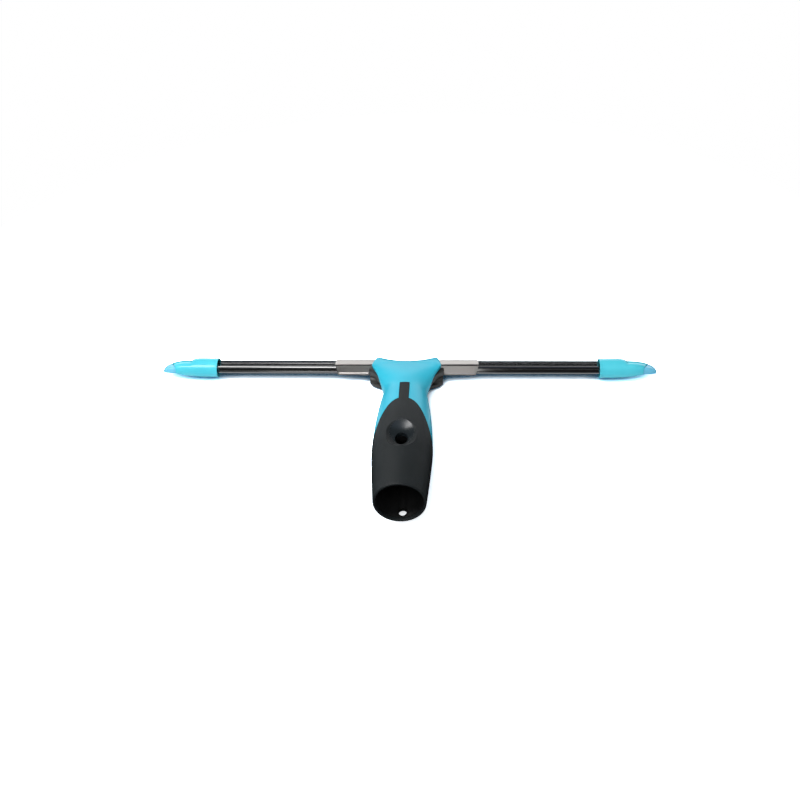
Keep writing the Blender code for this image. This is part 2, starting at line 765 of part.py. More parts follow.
def make_shell():
    shell = sheet("head_shell", shell_rows(), HANDLE_AXIS)
    wall = shell.modifiers.new("wall", "SOLIDIFY")
    wall.thickness = SHELL_THICKNESS
    wall.offset = -1.0
    cut(shell, shell_window())
    shade_round(shell)
    paint(shell, CYAN)


# Soft grip


def grip_inset(place):
    """Thickness of the grip's skin, thinner towards the mouth."""
    return smooth([(WAIST_PLACE, GRIP_THICKNESS), (HANDLE_LENGTH - 0.002, GRIP_MOUTH_THICKNESS)], place)


def handle_places(end):
    return [JAW_END + GAP] + spread(JAW_END + 0.0040, end, 20)


def socket_radius(place):
    share = (HANDLE_LENGTH - place) / SOCKET_DEPTH
    return between(SOCKET_MOUTH_RADIUS, SOCKET_FLOOR_RADIUS, share)


def socket_ring(place):
    radius = socket_radius(place)
    angles = spread(0.0, 2 * math.pi, ROUND_STEPS + 1)[:-1]
    return [(radius * math.sin(angle), -place, radius * math.cos(angle)) for angle in angles]


def make_grip():
    lip = HANDLE_LENGTH - GRIP_LIP
    outer = [section_ring(place) for place in handle_places(HANDLE_LENGTH - 0.0008)]
    outer.append(section_ring(HANDLE_LENGTH, 0.0005))
    inner = [section_ring(place, grip_inset(place)) for place in handle_places(lip)]
    bore = [socket_ring(lip), socket_ring(HANDLE_LENGTH)]
    grip = loft("soft_grip", outer + bore[::-1] + inner[::-1], HANDLE_AXIS, closed=True)
    cut(grip, grip_window())
    join(grip, recess_boss(0.0))
    cut(grip, recess_bowl(), lower_hole(LOWER_HOLE_WIDTH / 2))
    shade_round(grip)
    paint(grip, GREY_RUBBER)


def oval_ring(half_width, half_length, place, height):
    return [
        (half_width * math.sin(angle), -place - half_length * math.cos(angle), height)
        for angle in [2 * math.pi * i / 32 for i in range(32)]
    ]


def recess_boss(grow):
    """Thick part of the grip round the thumb recess, sunk into the core."""
    top = BELLY_WIDTH / 2
    half = RECESS_WIDTH / 2 + grow - RECESS_BOSS_EDGE
    length = RECESS_LENGTH / 2 + grow - RECESS_BOSS_EDGE
    rings = [
        oval_ring(half, length, RECESS_PLACE, top - RECESS_BOSS_DEPTH - grow),
        oval_ring(half, length, RECESS_PLACE, top - RECESS_BOSS_TOP + (top / 2 if grow else 0.0)),
    ]
    return loft("recess_boss", rings, HANDLE_AXIS, cutter=True)


def recess_bowl():
    """Conical thumb recess down to the oval lock hole, which lies nearer the mouth."""
    top = BELLY_WIDTH / 2
    hole = (LOCK_HOLE_WIDTH / 2, LOCK_HOLE_LENGTH / 2)
    hole_place = RECESS_PLACE + LOCK_HOLE_SHIFT
    share = 1 - RECESS_SIDE_DEPTH / RECESS_DEPTH
    side = RECESS_WIDTH / 2
    wide = hole[0] + (side - hole[0]) / share
    end = RECESS_LENGTH / 2
    place = between(hole_place, RECESS_PLACE, share) - RECESS_TILT
    rings = [
        oval_ring(*hole, hole_place, 0.0),
        oval_ring(*hole, hole_place, top - RECESS_DEPTH),
        oval_ring(side, between(hole[1], end, share), place, top - RECESS_SIDE_DEPTH),
        oval_ring(wide, end, RECESS_PLACE, top),
        oval_ring(wide, end + 0.0010, RECESS_PLACE, top + 0.0010),
    ]
    return loft("recess_bowl", rings, HANDLE_AXIS, cutter=True)


def lock_hole_tool():
    """Lock hole through the core, clear of the grip's own hole."""
    hole = (LOCK_HOLE_WIDTH / 2 + GAP, LOCK_HOLE_LENGTH / 2 + GAP)
    rings = [oval_ring(*hole, RECESS_PLACE + LOCK_HOLE_SHIFT, height) for height in (0.0, BELLY_WIDTH / 2)]
    return loft("lock_hole", rings, HANDLE_AXIS, cutter=True)


def lower_hole(half_width):
    """Oval hole through the underside, near the mouth."""
    half_length = half_width + (LOWER_HOLE_LENGTH - LOWER_HOLE_WIDTH) / 2
    place = HANDLE_LENGTH - LOWER_HOLE_FROM_MOUTH
    rings = []
    for height in (-MOUTH_WIDTH, -SOCKET_FLOOR_RADIUS / 2):
        ring = oval_ring(half_width, half_length, place, height)
        rings.append([(x + LOWER_HOLE_SIDE, y, z) for x, y, z in ring])
    return loft("lower_hole", rings, HANDLE_AXIS, cutter=True)


# Handle core


def make_core():
    places = handle_places(HANDLE_LENGTH - GRIP_LIP - GAP)
    rings = [section_ring(place, grip_inset(place) + GAP) for place in places]
    core = loft("handle_core", rings, HANDLE_AXIS)
    low = (-TENON_WIDTH / 2, -JAW_END - 0.004, TENON_BOTTOM)
    high = (TENON_WIDTH / 2, -TENON_START, TENON_TOP)
    join(core, block("tenon", low, high, HANDLE_AXIS, cutter=True))
    bore = [socket_ring(place) for place in (HANDLE_LENGTH - SOCKET_DEPTH, HANDLE_LENGTH + 0.004)]
    socket = loft("socket", bore, HANDLE_AXIS, cutter=True)
    cut(core, socket, recess_boss(GAP), lock_hole_tool(), lower_hole(LOWER_HOLE_WIDTH / 2))
    for side in (-1, 1):
        cut(core, screw_tool(side, SCREW_RADIUS + GAP, GAP))
    shade_round(core)
    paint(core, BLACK_PLASTIC)


# Jaw body


def jaw_outline():
    """Half of the jaw body seen from above, as half widths and places."""
    half = JAW_WIDTH / 2
    neck = NECK_WIDTH / 2 - GAP
    front = JAW_END * 0.12
    shares = ((0.0, 1.0), (0.16, 0.63), (0.43, 0.28), (0.65, 0.16), (1.0, 0.0))
    flare = [(between(front, JAW_END, along), between(neck, half, share)) for along, share in shares]
    points = [(half - JAW_CORNER, -JAW_REACH), (half, front)]
    points += [(smooth(flare, place), place) for place in spread(front, JAW_END, 13)[1:]]
    return points


def under_shell_tool():
    """Everything over the shell's inner face, with the gap to it, and over its rim outwards."""
    inset = UNDER_SHELL + GAP
    beyond = JAW_WIDTH
    rings = []
    for row in shell_rows(inset)[: 5 + 8]:
        left, right = row[0], row[-1]
        low = left.z - UNDER_RIM
        ring = [(-beyond, left.y, beyond), (-beyond, left.y, low)]
        ring += [(x, y, z - UNDER_RIM) for x, y, z in row]
        ring += [(beyond, right.y, low), (beyond, right.y, beyond)]
        rings.append(ring)
    return loft("under_shell", rings, HANDLE_AXIS, cutter=True)


def make_jaw():
    points = jaw_outline()
    outline = [(width, -place) for width, place in points]
    outline += [(-width, -place) for width, place in reversed(points)]
    jaw = prism("jaw_body", outline, JAW_HEIGHT / 2, HANDLE_AXIS, along="Z")
    jaw.location = (0.0, 0.0, JAW_UNDERSIDE + JAW_HEIGHT / 2)
    cut(jaw, under_shell_tool(), pin_tool(LEVER_BAR_RADIUS + GAP, JAW_WIDTH * 1.2, "bar_room"))
    keel = block(
        "keel",
        (-KEEL_WIDTH / 2, -JAW_END, KEEL_UNDERSIDE),
        (KEEL_WIDTH / 2, -KEEL_START, JAW_UNDERSIDE + 0.001),
        HANDLE_AXIS,
        cutter=True,
    )
    join(jaw, keel)
    for side in (-1, 1):
        join(jaw, lug_tool(side))
    web_front = -2 * GAP - STEEL_THICKNESS
    low = (-JAW_WIDTH, web_front, -JAW_WIDTH / 2)
    high = (JAW_WIDTH, JAW_WIDTH, JAW_WIDTH / 2)
    cut(jaw, block("web_plane", low, high, CHANNEL_AXIS, cutter=True))
    mortise = block(
        "mortise",
        (-TENON_WIDTH / 2 - GAP, -JAW_END - 0.001, TENON_BOTTOM - GAP),
        (TENON_WIDTH / 2 + GAP, -TENON_START + GAP, TENON_TOP + GAP),
        HANDLE_AXIS,
        cutter=True,
    )
    cut(jaw, mortise, pin_tool(PIN_RADIUS + GAP, PIN_LENGTH + 0.002))
    for side in (-1, 1):
        cut(jaw, rivet_tool(side, RIVET_RADIUS + GAP), screw_tool(side, SCREW_RADIUS + GAP, GAP))
        cut(jaw, screw_head_tool(side))
    paint(jaw, DARK_NYLON)


def lug_tool(side):
    """Ear that carries the lever's pin under the jaw."""
    root = JAW_UNDERSIDE + 0.0025
    outline = [(-PIN_PLACE - LUG_RADIUS, root), (-PIN_PLACE - LUG_RADIUS, PIN_HEIGHT)]
    for turn in spread(0.0, math.pi, 9)[1:-1]:
        outline.append((-PIN_PLACE - LUG_RADIUS * math.cos(turn), PIN_HEIGHT - LUG_RADIUS * math.sin(turn)))
    outline += [(-PIN_PLACE + LUG_RADIUS, PIN_HEIGHT), (-PIN_PLACE + LUG_RADIUS, root)]
    lug = prism("lug", outline, LUG_THICKNESS / 2, HANDLE_AXIS, cutter=True)
    lug.location = (side * LUG_PLACE, 0.0, 0.0)
    return lug


def pin_tool(radius, length, name="pin_hole"):
    centre = (0.0, -PIN_PLACE, PIN_HEIGHT)
    return cone(name, (radius, radius), length, centre, (0, QUARTER, 0), HANDLE_AXIS, True, 24)


# Clamp lever and its pin


def make_lever():
    """Bar and tail in one piece, with its origin on the pin's axis."""
    pivot = bpy.data.objects.new("lever_axis", None)
    pivot.parent = HANDLE_AXIS
    pivot.location = (0.0, -PIN_PLACE, PIN_HEIGHT)
    PARTS.objects.link(pivot)
    half = LEVER_WIDTH / 2
    lever = cone(
        "clamp_lever",
        (LEVER_BAR_RADIUS, LEVER_BAR_RADIUS),
        LEVER_WIDTH,
        (0, 0, 0),
        (0, QUARTER, 0),
        pivot,
        sides=32,
    )
    tail = LEVER_TAIL_WIDTH / 2
    end = LEVER_END - PIN_PLACE
    shares = ((0.0, 0.98), (0.15, 0.87), (0.30, 0.47), (0.56, 0.22), (1.0, 0.0))
    flare = [(end * along, between(tail, half, share)) for along, share in shares]
    points = [(smooth(flare, place), place) for place in spread(0.0, end - 0.0012, 14)]
    points += [(tail - 0.0012, end)]
    outline = [(width, -place) for width, place in points]
    outline += [(-width, -place) for width, place in reversed(points)]
    plate = prism("lever_plate", outline, LEVER_PLATE_THICKNESS / 2, pivot, along="Z", cutter=True)
    plate.location = (0.0, 0.0, -LEVER_BAR_RADIUS + LEVER_PLATE_THICKNESS / 2)
    join(lever, plate)
    for side in (-1, 1):
        near = side * LUG_PLACE - LUG_THICKNESS / 2 - GAP
        far = side * LUG_PLACE + LUG_THICKNESS / 2 + GAP
        notch = LUG_RADIUS + 2 * GAP
        cut(lever, block("lug_notch", (near, -notch, -0.007), (far, notch, 0.007), pivot, cutter=True))
    cut(lever, pin_tool(PIN_RADIUS + GAP, PIN_LENGTH + 2 * GAP))
    paint(lever, DARK_NYLON)


def make_pin():
    centre = (0.0, -PIN_PLACE, PIN_HEIGHT)
    radii = (PIN_RADIUS, PIN_RADIUS)
    pin = cone("lever_pin", radii, PIN_LENGTH, centre, (0, QUARTER, 0), HANDLE_AXIS, sides=24)
    shade_round(pin)
    paint(pin, STEEL)


# Screws in the keel


def screw_tool(side, radius, clearance):
    top = KEEL_UNDERSIDE + SCREW_LENGTH + clearance
    bottom = KEEL_UNDERSIDE - 0.001
    centre = (side * SCREW_SPACING / 2, -SCREW_PLACE, (top + bottom) / 2)
    return cone("screw_hole", (radius, radius), top - bottom, centre, (0, 0, 0), HANDLE_AXIS, True, 16)


def screw_head_tool(side):
    radius = SCREW_HEAD_RADIUS + GAP
    height = SCREW_HEAD_HEIGHT + GAP
    centre = (side * SCREW_SPACING / 2, -SCREW_PLACE, KEEL_UNDERSIDE + height - 0.002)
    return cone("screw_head_hole", (radius, radius), 0.004, centre, (0, 0, 0), HANDLE_AXIS, True, 16)


def make_screws():
    head = SCREW_HEAD_HEIGHT
    for word, side in SIDES:
        profile = [
            (0.0, SCREW_LENGTH),
            (SCREW_RADIUS * 0.6, SCREW_LENGTH),
            (SCREW_RADIUS, SCREW_LENGTH - 0.0008),
            (SCREW_RADIUS, head),
            (SCREW_HEAD_RADIUS, head),
            (SCREW_HEAD_RADIUS, 0.0002),
            (SCREW_HEAD_RADIUS - 0.0002, 0.0),
            (0.0, 0.0),
        ]
        centre = (side * SCREW_SPACING / 2, -SCREW_PLACE, KEEL_UNDERSIDE)
        screw = turned("head_screw_" + word, profile, HANDLE_AXIS, centre, (0, 0, 0))
        paint(screw, STEEL)


clear_scene()
PARTS = make_collection("window_squeegee")
CUTTERS = make_collection("cutters")
HANDLE_AXIS, CHANNEL_AXIS = make_axes()
make_rubber()
make_channel()
make_bracket()
make_rivets()
for word, direction in SIDES:
    make_tip(word + "_tip_sleeve", direction)
    make_nib(word + "_tip_nib", direction)
make_shell()
make_grip()
make_core()
make_jaw()
make_lever()
make_pin()
make_screws()
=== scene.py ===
"""Window squeegee lying on its blade and on the belly of its handle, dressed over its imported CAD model."""

import math

import bmesh
import bpy
from mathutils import Matrix, Vector


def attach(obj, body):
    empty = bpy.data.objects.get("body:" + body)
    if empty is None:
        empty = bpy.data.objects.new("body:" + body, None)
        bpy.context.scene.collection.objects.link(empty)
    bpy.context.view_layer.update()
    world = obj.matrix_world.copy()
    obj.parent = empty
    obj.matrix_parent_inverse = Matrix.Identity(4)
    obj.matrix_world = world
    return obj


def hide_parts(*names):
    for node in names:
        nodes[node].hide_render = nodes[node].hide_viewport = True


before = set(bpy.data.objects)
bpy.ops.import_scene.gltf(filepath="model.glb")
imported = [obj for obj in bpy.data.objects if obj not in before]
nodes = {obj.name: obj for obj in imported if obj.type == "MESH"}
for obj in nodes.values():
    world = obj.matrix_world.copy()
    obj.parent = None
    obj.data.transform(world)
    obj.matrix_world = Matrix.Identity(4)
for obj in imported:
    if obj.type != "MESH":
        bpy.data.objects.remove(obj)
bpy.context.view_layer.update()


# Rubber blade
# A strip of black natural rubber, moulded and cut to a square edge, with a bead in the channel's hollow.
# Its edge sees the light as a soft grey line, and the rest stays nearly black.

def linear(code):
    """Linear colour of an sRGB hex value."""
    parts = [int(code[i:i + 2], 16) / 255 for i in (1, 3, 5)]
    return tuple(c / 12.92 if c <= 0.04045 else ((c + 0.055) / 1.055) ** 2.4 for c in parts) + (1.0,)


def add(tree, kind, inputs=None, **settings):
    """Adds a node with its settings, and sets or links its inputs."""
    node = tree.nodes.new("ShaderNode" + kind)
    for name, value in settings.items():
        setattr(node, name, value)
    for name, value in (inputs or {}).items():
        if isinstance(value, bpy.types.NodeSocket):
            tree.links.new(value, node.inputs[name])
        else:
            node.inputs[name].default_value = value
    return node


def finish(name, colour, roughness, metallic=0.0, ior=1.5):
    """A new material with its shader, its tree and the place of each point on the object."""
    material = bpy.data.materials.new(name)
    material.use_nodes = True
    tree = material.node_tree
    shader = tree.nodes["Principled BSDF"]
    shader.inputs["Base Color"].default_value = linear(colour)
    shader.inputs["Roughness"].default_value = roughness
    shader.inputs["Metallic"].default_value = metallic
    shader.inputs["IOR"].default_value = ior
    place = add(tree, "TexCoord").outputs["Object"]
    return material, tree, shader, place


def grain(tree, place, shader, scale, strength, distance, stretch=(1.0, 1.0, 1.0), turn=(0.0, 0.0, 0.0)):
    """A fine relief of the given grains per metre, over the whole surface."""
    laid = add(tree, "Mapping", {"Vector": place, "Scale": stretch, "Rotation": turn})
    noise = add(tree, "TexNoise", {"Vector": laid.outputs["Vector"], "Scale": scale, "Detail": 2.0})
    relief = {"Height": noise.outputs[0], "Strength": strength, "Distance": distance}
    bump = add(tree, "Bump", relief)
    tree.links.new(bump.outputs["Normal"], shader.inputs["Normal"])
    return noise.outputs[0]


def tint(tree, place, shader, dark, light, scale, stretch=(1.0, 1.0, 1.0)):
    """Slow change of colour between two hex values, in patches of the given number per metre."""
    laid = add(tree, "Mapping", {"Vector": place, "Scale": stretch})
    noise = add(tree, "TexNoise", {"Vector": laid.outputs["Vector"], "Scale": scale, "Detail": 3.0})
    ramp = add(tree, "ValToRGB", {"Fac": noise.outputs[0]})
    ramp.color_ramp.elements[0].position = 0.3
    ramp.color_ramp.elements[0].color = linear(dark)
    ramp.color_ramp.elements[1].position = 0.7
    ramp.color_ramp.elements[1].color = linear(light)
    tree.links.new(ramp.outputs["Color"], shader.inputs["Base Color"])


def dress(piece, material):
    piece.data.materials.clear()
    piece.data.materials.append(material)


natural_rubber, tree, shader, place = finish("moulded natural rubber", "#101011", 0.52, ior=1.52)
grain(tree, place, shader, 900.0, 0.25, 0.0002, stretch=(0.15, 1.0, 1.0))
tint(tree, place, shader, "#0d0d0e", "#161617", 60.0)
dress(nodes["rubber_blade"], natural_rubber)


# Channel
# A black anodised aluminium extrusion: rounded back edges, a groove for the rivets' heads, a low step along
# the front of its top, and a hollow that holds the rubber's bead. The dyed oxide is nearly black, and its
# clear skin gives a bright streak along the rounded edge.

HANDLE = Matrix.Translation((0.0, 0.057476, 0.009815)) @ Matrix.Rotation(-0.1143902, 4, "X")
CHANNEL = HANDLE @ Matrix.Rotation(math.radians(-19.5), 4, "X")
CHANNEL_WIDTH = 0.0058
CHANNEL_DEPTH = 0.0118
CHANNEL_LENGTH = 0.312
STEP_START = 0.0072
STEP_BACK_RISE = 0.0004
STEP_FRONT_RISE = 0.0005
MOUTH_HALF = 0.0013
HOLLOW_HALF = 0.0021
HOLLOW_BACK = 0.0018
HOLLOW_FRONT = 0.0110
GROOVE_HALF = 0.0010
GROOVE_DEPTH = 0.0008


def deselect():
    bpy.ops.object.select_all(action="DESELECT")


def pick(piece):
    deselect()
    piece.select_set(True)
    bpy.context.view_layer.objects.active = piece


def worked(piece, kind, **settings):
    """Adds a modifier and applies it."""
    modifier = piece.modifiers.new(kind.lower(), kind)
    for name, value in settings.items():
        setattr(modifier, name, value)
    pick(piece)
    bpy.ops.object.modifier_apply(modifier=modifier.name)


def eased(piece, width, segments=2, angle=40.0):
    """Rounds a piece's sharp edges and shades the rest smooth."""
    limit = math.radians(angle)
    worked(piece, "BEVEL", width=width, segments=segments, limit_method="ANGLE", angle_limit=limit)
    pick(piece)
    bpy.ops.object.shade_smooth_by_angle(angle=math.radians(35.0))


def arc(centre, radius, start, end, steps):
    """Points of an arc in degrees, counted from the first axis to the second."""
    turns = [math.radians(start + (end - start) * i / steps) for i in range(steps + 1)]
    return [(centre[0] + radius * math.cos(turn), centre[1] + radius * math.sin(turn)) for turn in turns]


def extruded(name, outline, start, end, matrix):
    """A section drawn on a circle primitive, extruded along X as the real profile is."""
    deselect()
    bpy.ops.mesh.primitive_circle_add(vertices=len(outline), fill_type="NGON")
    piece = bpy.context.object
    piece.name = name
    for corner, (depth, height) in zip(piece.data.vertices, outline):
        corner.co = (start, depth, height)
    bpy.ops.object.mode_set(mode="EDIT")
    bpy.ops.mesh.select_all(action="SELECT")
    bpy.ops.mesh.extrude_region_move(TRANSFORM_OT_translate={"value": (end - start, 0.0, 0.0)})
    bpy.ops.mesh.select_all(action="SELECT")
    bpy.ops.mesh.normals_make_consistent(inside=False)
    bpy.ops.object.mode_set(mode="OBJECT")
    piece.data.transform(matrix)
    return piece


half = CHANNEL_WIDTH / 2
round_back = 0.0016
outline = [(CHANNEL_DEPTH, -half), (CHANNEL_DEPTH, -MOUTH_HALF)]
outline += [(HOLLOW_FRONT, -MOUTH_HALF), (HOLLOW_FRONT, -HOLLOW_HALF), (HOLLOW_BACK, -HOLLOW_HALF)]
outline += [(HOLLOW_BACK, HOLLOW_HALF), (HOLLOW_FRONT, HOLLOW_HALF), (HOLLOW_FRONT, MOUTH_HALF)]
outline += [(CHANNEL_DEPTH, MOUTH_HALF), (CHANNEL_DEPTH, half + STEP_FRONT_RISE)]
outline += [(STEP_START, half + STEP_BACK_RISE), (STEP_START, half)]
outline += arc((round_back, half - round_back), round_back, 90.0, 180.0, 12)
outline += [(0.0, GROOVE_HALF), (GROOVE_DEPTH, GROOVE_HALF)]
outline += [(GROOVE_DEPTH, -GROOVE_HALF), (0.0, -GROOVE_HALF)]
outline += arc((round_back, round_back - half), round_back, 180.0, 270.0, 12)
channel = extruded("anodised_channel", outline, -CHANNEL_LENGTH / 2, CHANNEL_LENGTH / 2, CHANNEL)
eased(channel, 0.00012)
worked(channel, "WEIGHTED_NORMAL", keep_sharp=True)
anodised, tree, shader, place = finish("black anodised aluminium", "#060607", 0.13, ior=1.60)
shader.inputs["Coat Weight"].default_value = 1.0
shader.inputs["Coat Roughness"].default_value = 0.08
shader.inputs["Coat IOR"].default_value = 2.25
grain(tree, place, shader, 1500.0, 0.05, 0.0001, stretch=(0.02, 1.0, 1.0))
tint(tree, place, shader, "#050506", "#0b0b0c", 30.0, stretch=(0.1, 1.0, 1.0))
dress(channel, anodised)
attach(channel, "blade")
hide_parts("channel")


# End tips
# Each is a thin cyan polypropylene sleeve, moulded with a rail along its inner half, that clips over the
# channel's end, and a paler nib that is pushed into its mouth. Both are glossy and catch a long highlight.

TIP_START = 0.138
RAIL_MIDDLE = 0.0062
RAIL_REACH = 0.0074
SLOT_START = 0.0183
SLEEVE_WALL = 0.0009
ROUND = 72
NIB_ROUND = 40


def smooth(stations, at):
    """Value of a smooth curve through (place, value) stations."""
    if at <= stations[0][0]:
        return stations[0][1]
    if at >= stations[-1][0]:
        return stations[-1][1]
    slopes = []
    for i in range(len(stations)):
        before = stations[max(i - 1, 0)]
        after = stations[min(i + 1, len(stations) - 1)]
        slopes.append((after[1] - before[1]) / (after[0] - before[0]))
    for i in range(len(stations) - 1):
        (x0, y0), (x1, y1) = stations[i], stations[i + 1]
        if at <= x1:
            break
    span = x1 - x0
    t = (at - x0) / span
    return (
        (2 * t**3 - 3 * t**2 + 1) * y0
        + (t**3 - 2 * t**2 + t) * span * slopes[i]
        + (3 * t**2 - 2 * t**3) * y1
        + (t**3 - t**2) * span * slopes[i + 1]
    )


def shaped_grid(name, columns, rows, where, matrix, keep=None):
    """A grid primitive without the squares that aren't kept, its corners moved to where they belong."""
    deselect()
    bpy.ops.mesh.primitive_grid_add(x_subdivisions=columns, y_subdivisions=rows, size=1.0)
    piece = bpy.context.object
    piece.name = name
    mesh = bmesh.new()
    mesh.from_mesh(piece.data)
    if keep:
        unwanted = []
        for face in mesh.faces:
            middle = face.calc_center_median()
            if not keep(int((middle.x + 0.5) * columns), int((middle.y + 0.5) * rows)):
                unwanted.append(face)
        bmesh.ops.delete(mesh, geom=unwanted, context="FACES")
    for corner in mesh.verts:
        column = round((corner.co.x + 0.5) * columns)
        row = round((corner.co.y + 0.5) * rows)
        corner.co = matrix @ Vector(where(column, row))
    bmesh.ops.remove_doubles(mesh, verts=mesh.verts, dist=0.000005)
    bmesh.ops.recalc_face_normals(mesh, faces=mesh.faces)
    mesh.to_mesh(piece.data)
    mesh.free()
    return piece


def rounded_section(turn, along, top, bottom, back, front, lean, power=0.6):
    """Point of a rounded rectangular section, at a share of the way round it."""
    angle = 2 * math.pi * turn
    u = math.copysign(abs(math.cos(angle)) ** power, math.cos(angle))
    v = math.copysign(abs(math.sin(angle)) ** power, math.sin(angle))
    depth = (front + back) / 2 + u * (front - back) / 2
    height = (top + bottom) / 2 + v * (top - bottom) / 2
    if v < 0:
        height += bottom * v * u * 0.10
    return along + lean * u, depth, height


def mm(*stations):
    return [tuple(value / 1000 for value in station) for station in stations]


# Sizes of the sleeve's section at distances from its rim: top, bottom, back, front, lean of the mouth
SLEEVE = mm(
    (0.0, 4.85, -5.80, -2.30, 13.35, 0.0), (0.30, 5.00, -6.00, -2.50, 13.50, 0.0),
    (0.90, 5.00, -6.00, -2.50, 13.50, 0.0), (1.4, 4.85, -5.80, -2.30, 13.40, 0.0),
    (9.0, 4.85, -5.75, -2.25, 13.35, 0.0), (16.0, 4.80, -5.50, -2.12, 13.10, 0.1),
    (22.0, 4.75, -5.05, -1.92, 12.70, 0.6), (27.0, 4.60, -4.50, -1.60, 12.10, 1.6),
    (31.0, 3.80, -3.95, -1.20, 11.50, 2.6), (33.8, 2.80, -3.55, -0.85, 11.10, 3.0),
)
# Height of the rail at distances from the rim
RAIL = mm((0.0, 1.9), (15.5, 2.0), (18.2, 1.55), (20.4, 0.10), (21.2, 0.0), (33.8, 0.0))
# Places of the sleeve's rings, closer together at the rim and where the rail and the slot end
RINGS = [0.0, 0.00015, 0.00035, 0.0007, 0.0010, 0.00125, 0.0015, 0.0020]
RINGS += [0.0035 + 0.0017 * i for i in range(8)] + [0.0169 + 0.0004 * i for i in range(11)]
RINGS += [0.0222 + 0.00116 * i for i in range(11)]
# The same sizes for the nib's rings, at places along the channel, with its flared collar at 172 mm
NIB = mm(
    (156.5, 0.90, -2.60, 0.40, 9.60, 0.0), (166.0, 0.90, -2.60, 0.40, 9.60, 1.0),
    (171.0, 1.20, -2.60, 0.35, 9.60, 3.0), (171.9, 2.10, -2.90, 0.0, 10.2, 3.0),
    (172.2, 2.60, -3.20, -0.40, 10.7, 2.9), (173.5, 2.10, -3.25, -0.25, 10.2, 2.5),
    (175.3, 1.60, -3.20, 0.10, 9.20, 1.9), (177.0, 0.85, -3.10, 0.80, 7.90, 1.2),
    (178.3, -0.05, -2.95, 1.50, 6.50, 0.6), (178.9, -0.80, -2.75, 2.20, 5.40, 0.2),
    (179.15, -1.50, -2.50, 2.90, 4.50, 0.0),
)


def sleeve_sizes(at):
    return [smooth([(row[0], row[i]) for row in SLEEVE], at) for i in range(1, 6)]


def sleeve_point(side, at, turn):
    """Point of the sleeve, with the rail raised along the middle of its top."""
    x, depth, height = rounded_section(turn, TIP_START + at, *sleeve_sizes(at), power=0.72)
    if height > 0:
        across = min(abs(depth - RAIL_MIDDLE) / RAIL_REACH, 1.0)
        height += smooth(RAIL, at) * (1 - across**2) ** 1.5
    return side * x, depth, height


def over_sleeve(column, row):
    """False for the slot in the sleeve's front wall, which the rubber's edge comes through."""
    return RINGS[row] > SLOT_START or 3 <= column < ROUND - 1


def nib_point(side, column, row):
    x, depth, height = rounded_section(column / NIB_ROUND, *NIB[row], power=0.62)
    return side * x, depth, height


polypropylene, tree, shader, place = finish("glossy moulded polypropylene", "#52cee0", 0.15, ior=1.47)
grain(tree, place, shader, 700.0, 0.06, 0.0002)
tint(tree, place, shader, "#4cc8dc", "#58d3e4", 45.0)
nib_plastic, tree, shader, place = finish("pale moulded polypropylene", "#70c6e6", 0.22, ior=1.49)
grain(tree, place, shader, 700.0, 0.06, 0.0002)
tint(tree, place, shader, "#6ac0e2", "#78cdea", 45.0)

for word, side in (("left", -1), ("right", 1)):
    sleeve = shaped_grid(
        word + "_sleeve", ROUND, len(RINGS) - 1,
        lambda column, row: sleeve_point(side, RINGS[row], column / ROUND), CHANNEL, over_sleeve,
    )
    worked(sleeve, "SOLIDIFY", thickness=SLEEVE_WALL, offset=-1.0, use_even_offset=True)
    eased(sleeve, 0.00022, 3, 50.0)
    dress(sleeve, polypropylene)
    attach(sleeve, word + "_tip")
    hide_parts(word + "_tip_sleeve")

    nib = shaped_grid(
        word + "_nib", NIB_ROUND, len(NIB) - 1, lambda column, row: nib_point(side, column, row), CHANNEL,
    )
    pick(nib)
    bpy.ops.object.mode_set(mode="EDIT")
    bpy.ops.mesh.select_all(action="DESELECT")
    bpy.ops.mesh.select_non_manifold()
    bpy.ops.mesh.fill_holes(sides=0)
    bpy.ops.mesh.select_all(action="SELECT")
    bpy.ops.mesh.normals_make_consistent(inside=False)
    bpy.ops.object.mode_set(mode="OBJECT")
    worked(nib, "SUBSURF", levels=1, render_levels=1)
    pick(nib)
    bpy.ops.object.shade_smooth_by_angle(angle=math.radians(40.0))
    dress(nib, nib_plastic)
    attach(nib, word + "_tip")
    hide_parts(word + "_tip_nib")


# Steel bracket and its rivets
# A strip of spring steel, blanked with slanted ends, a notch for the shell, a slit on each side that lets
# the flange spring, and a small tab, then pressed with a shallow panel in each half of its web and folded to
# a flange over the channel and a lip under it. It is bright, with the faint streaks of rolled sheet.

STEEL = 0.0005
WEB = -0.0007
TOP = 0.0049
LOW = -0.00345
UPPER_BEND = 0.0006
LOWER_BEND = 0.0009
FLANGE_FRONT = 0.0092
FLANGE_RISE = 0.0004
LIP_FRONT = 0.0030
BLANK_HALF = 0.0530
BRACKET_HALF = 0.0505
END_SLANT = 0.237
NOTCH_HALF = 0.0235
SLIT_START = 0.0248
SLIT_LOW = 0.0037
PANEL_START = 0.0268


def block(name, low, high):
    """A cube primitive brought to its two corners."""
    deselect()
    bpy.ops.mesh.primitive_cube_add(size=1.0)
    piece = bpy.context.object
    piece.name = name
    for corner in piece.data.vertices:
        share = [c + 0.5 for c in corner.co]
        corner.co = [a + (b - a) * s for a, b, s in zip(low, high, share)]
    return piece


def carved(piece, *tools):
    """Cuts a piece with tools and removes them."""
    for tool in tools:
        worked(piece, "BOOLEAN", operation="DIFFERENCE", object=tool, solver="EXACT")
        bpy.data.objects.remove(tool)


def joined(piece, other):
    """Makes another piece part of a piece."""
    pick(piece)
    other.select_set(True)
    bpy.ops.object.join()


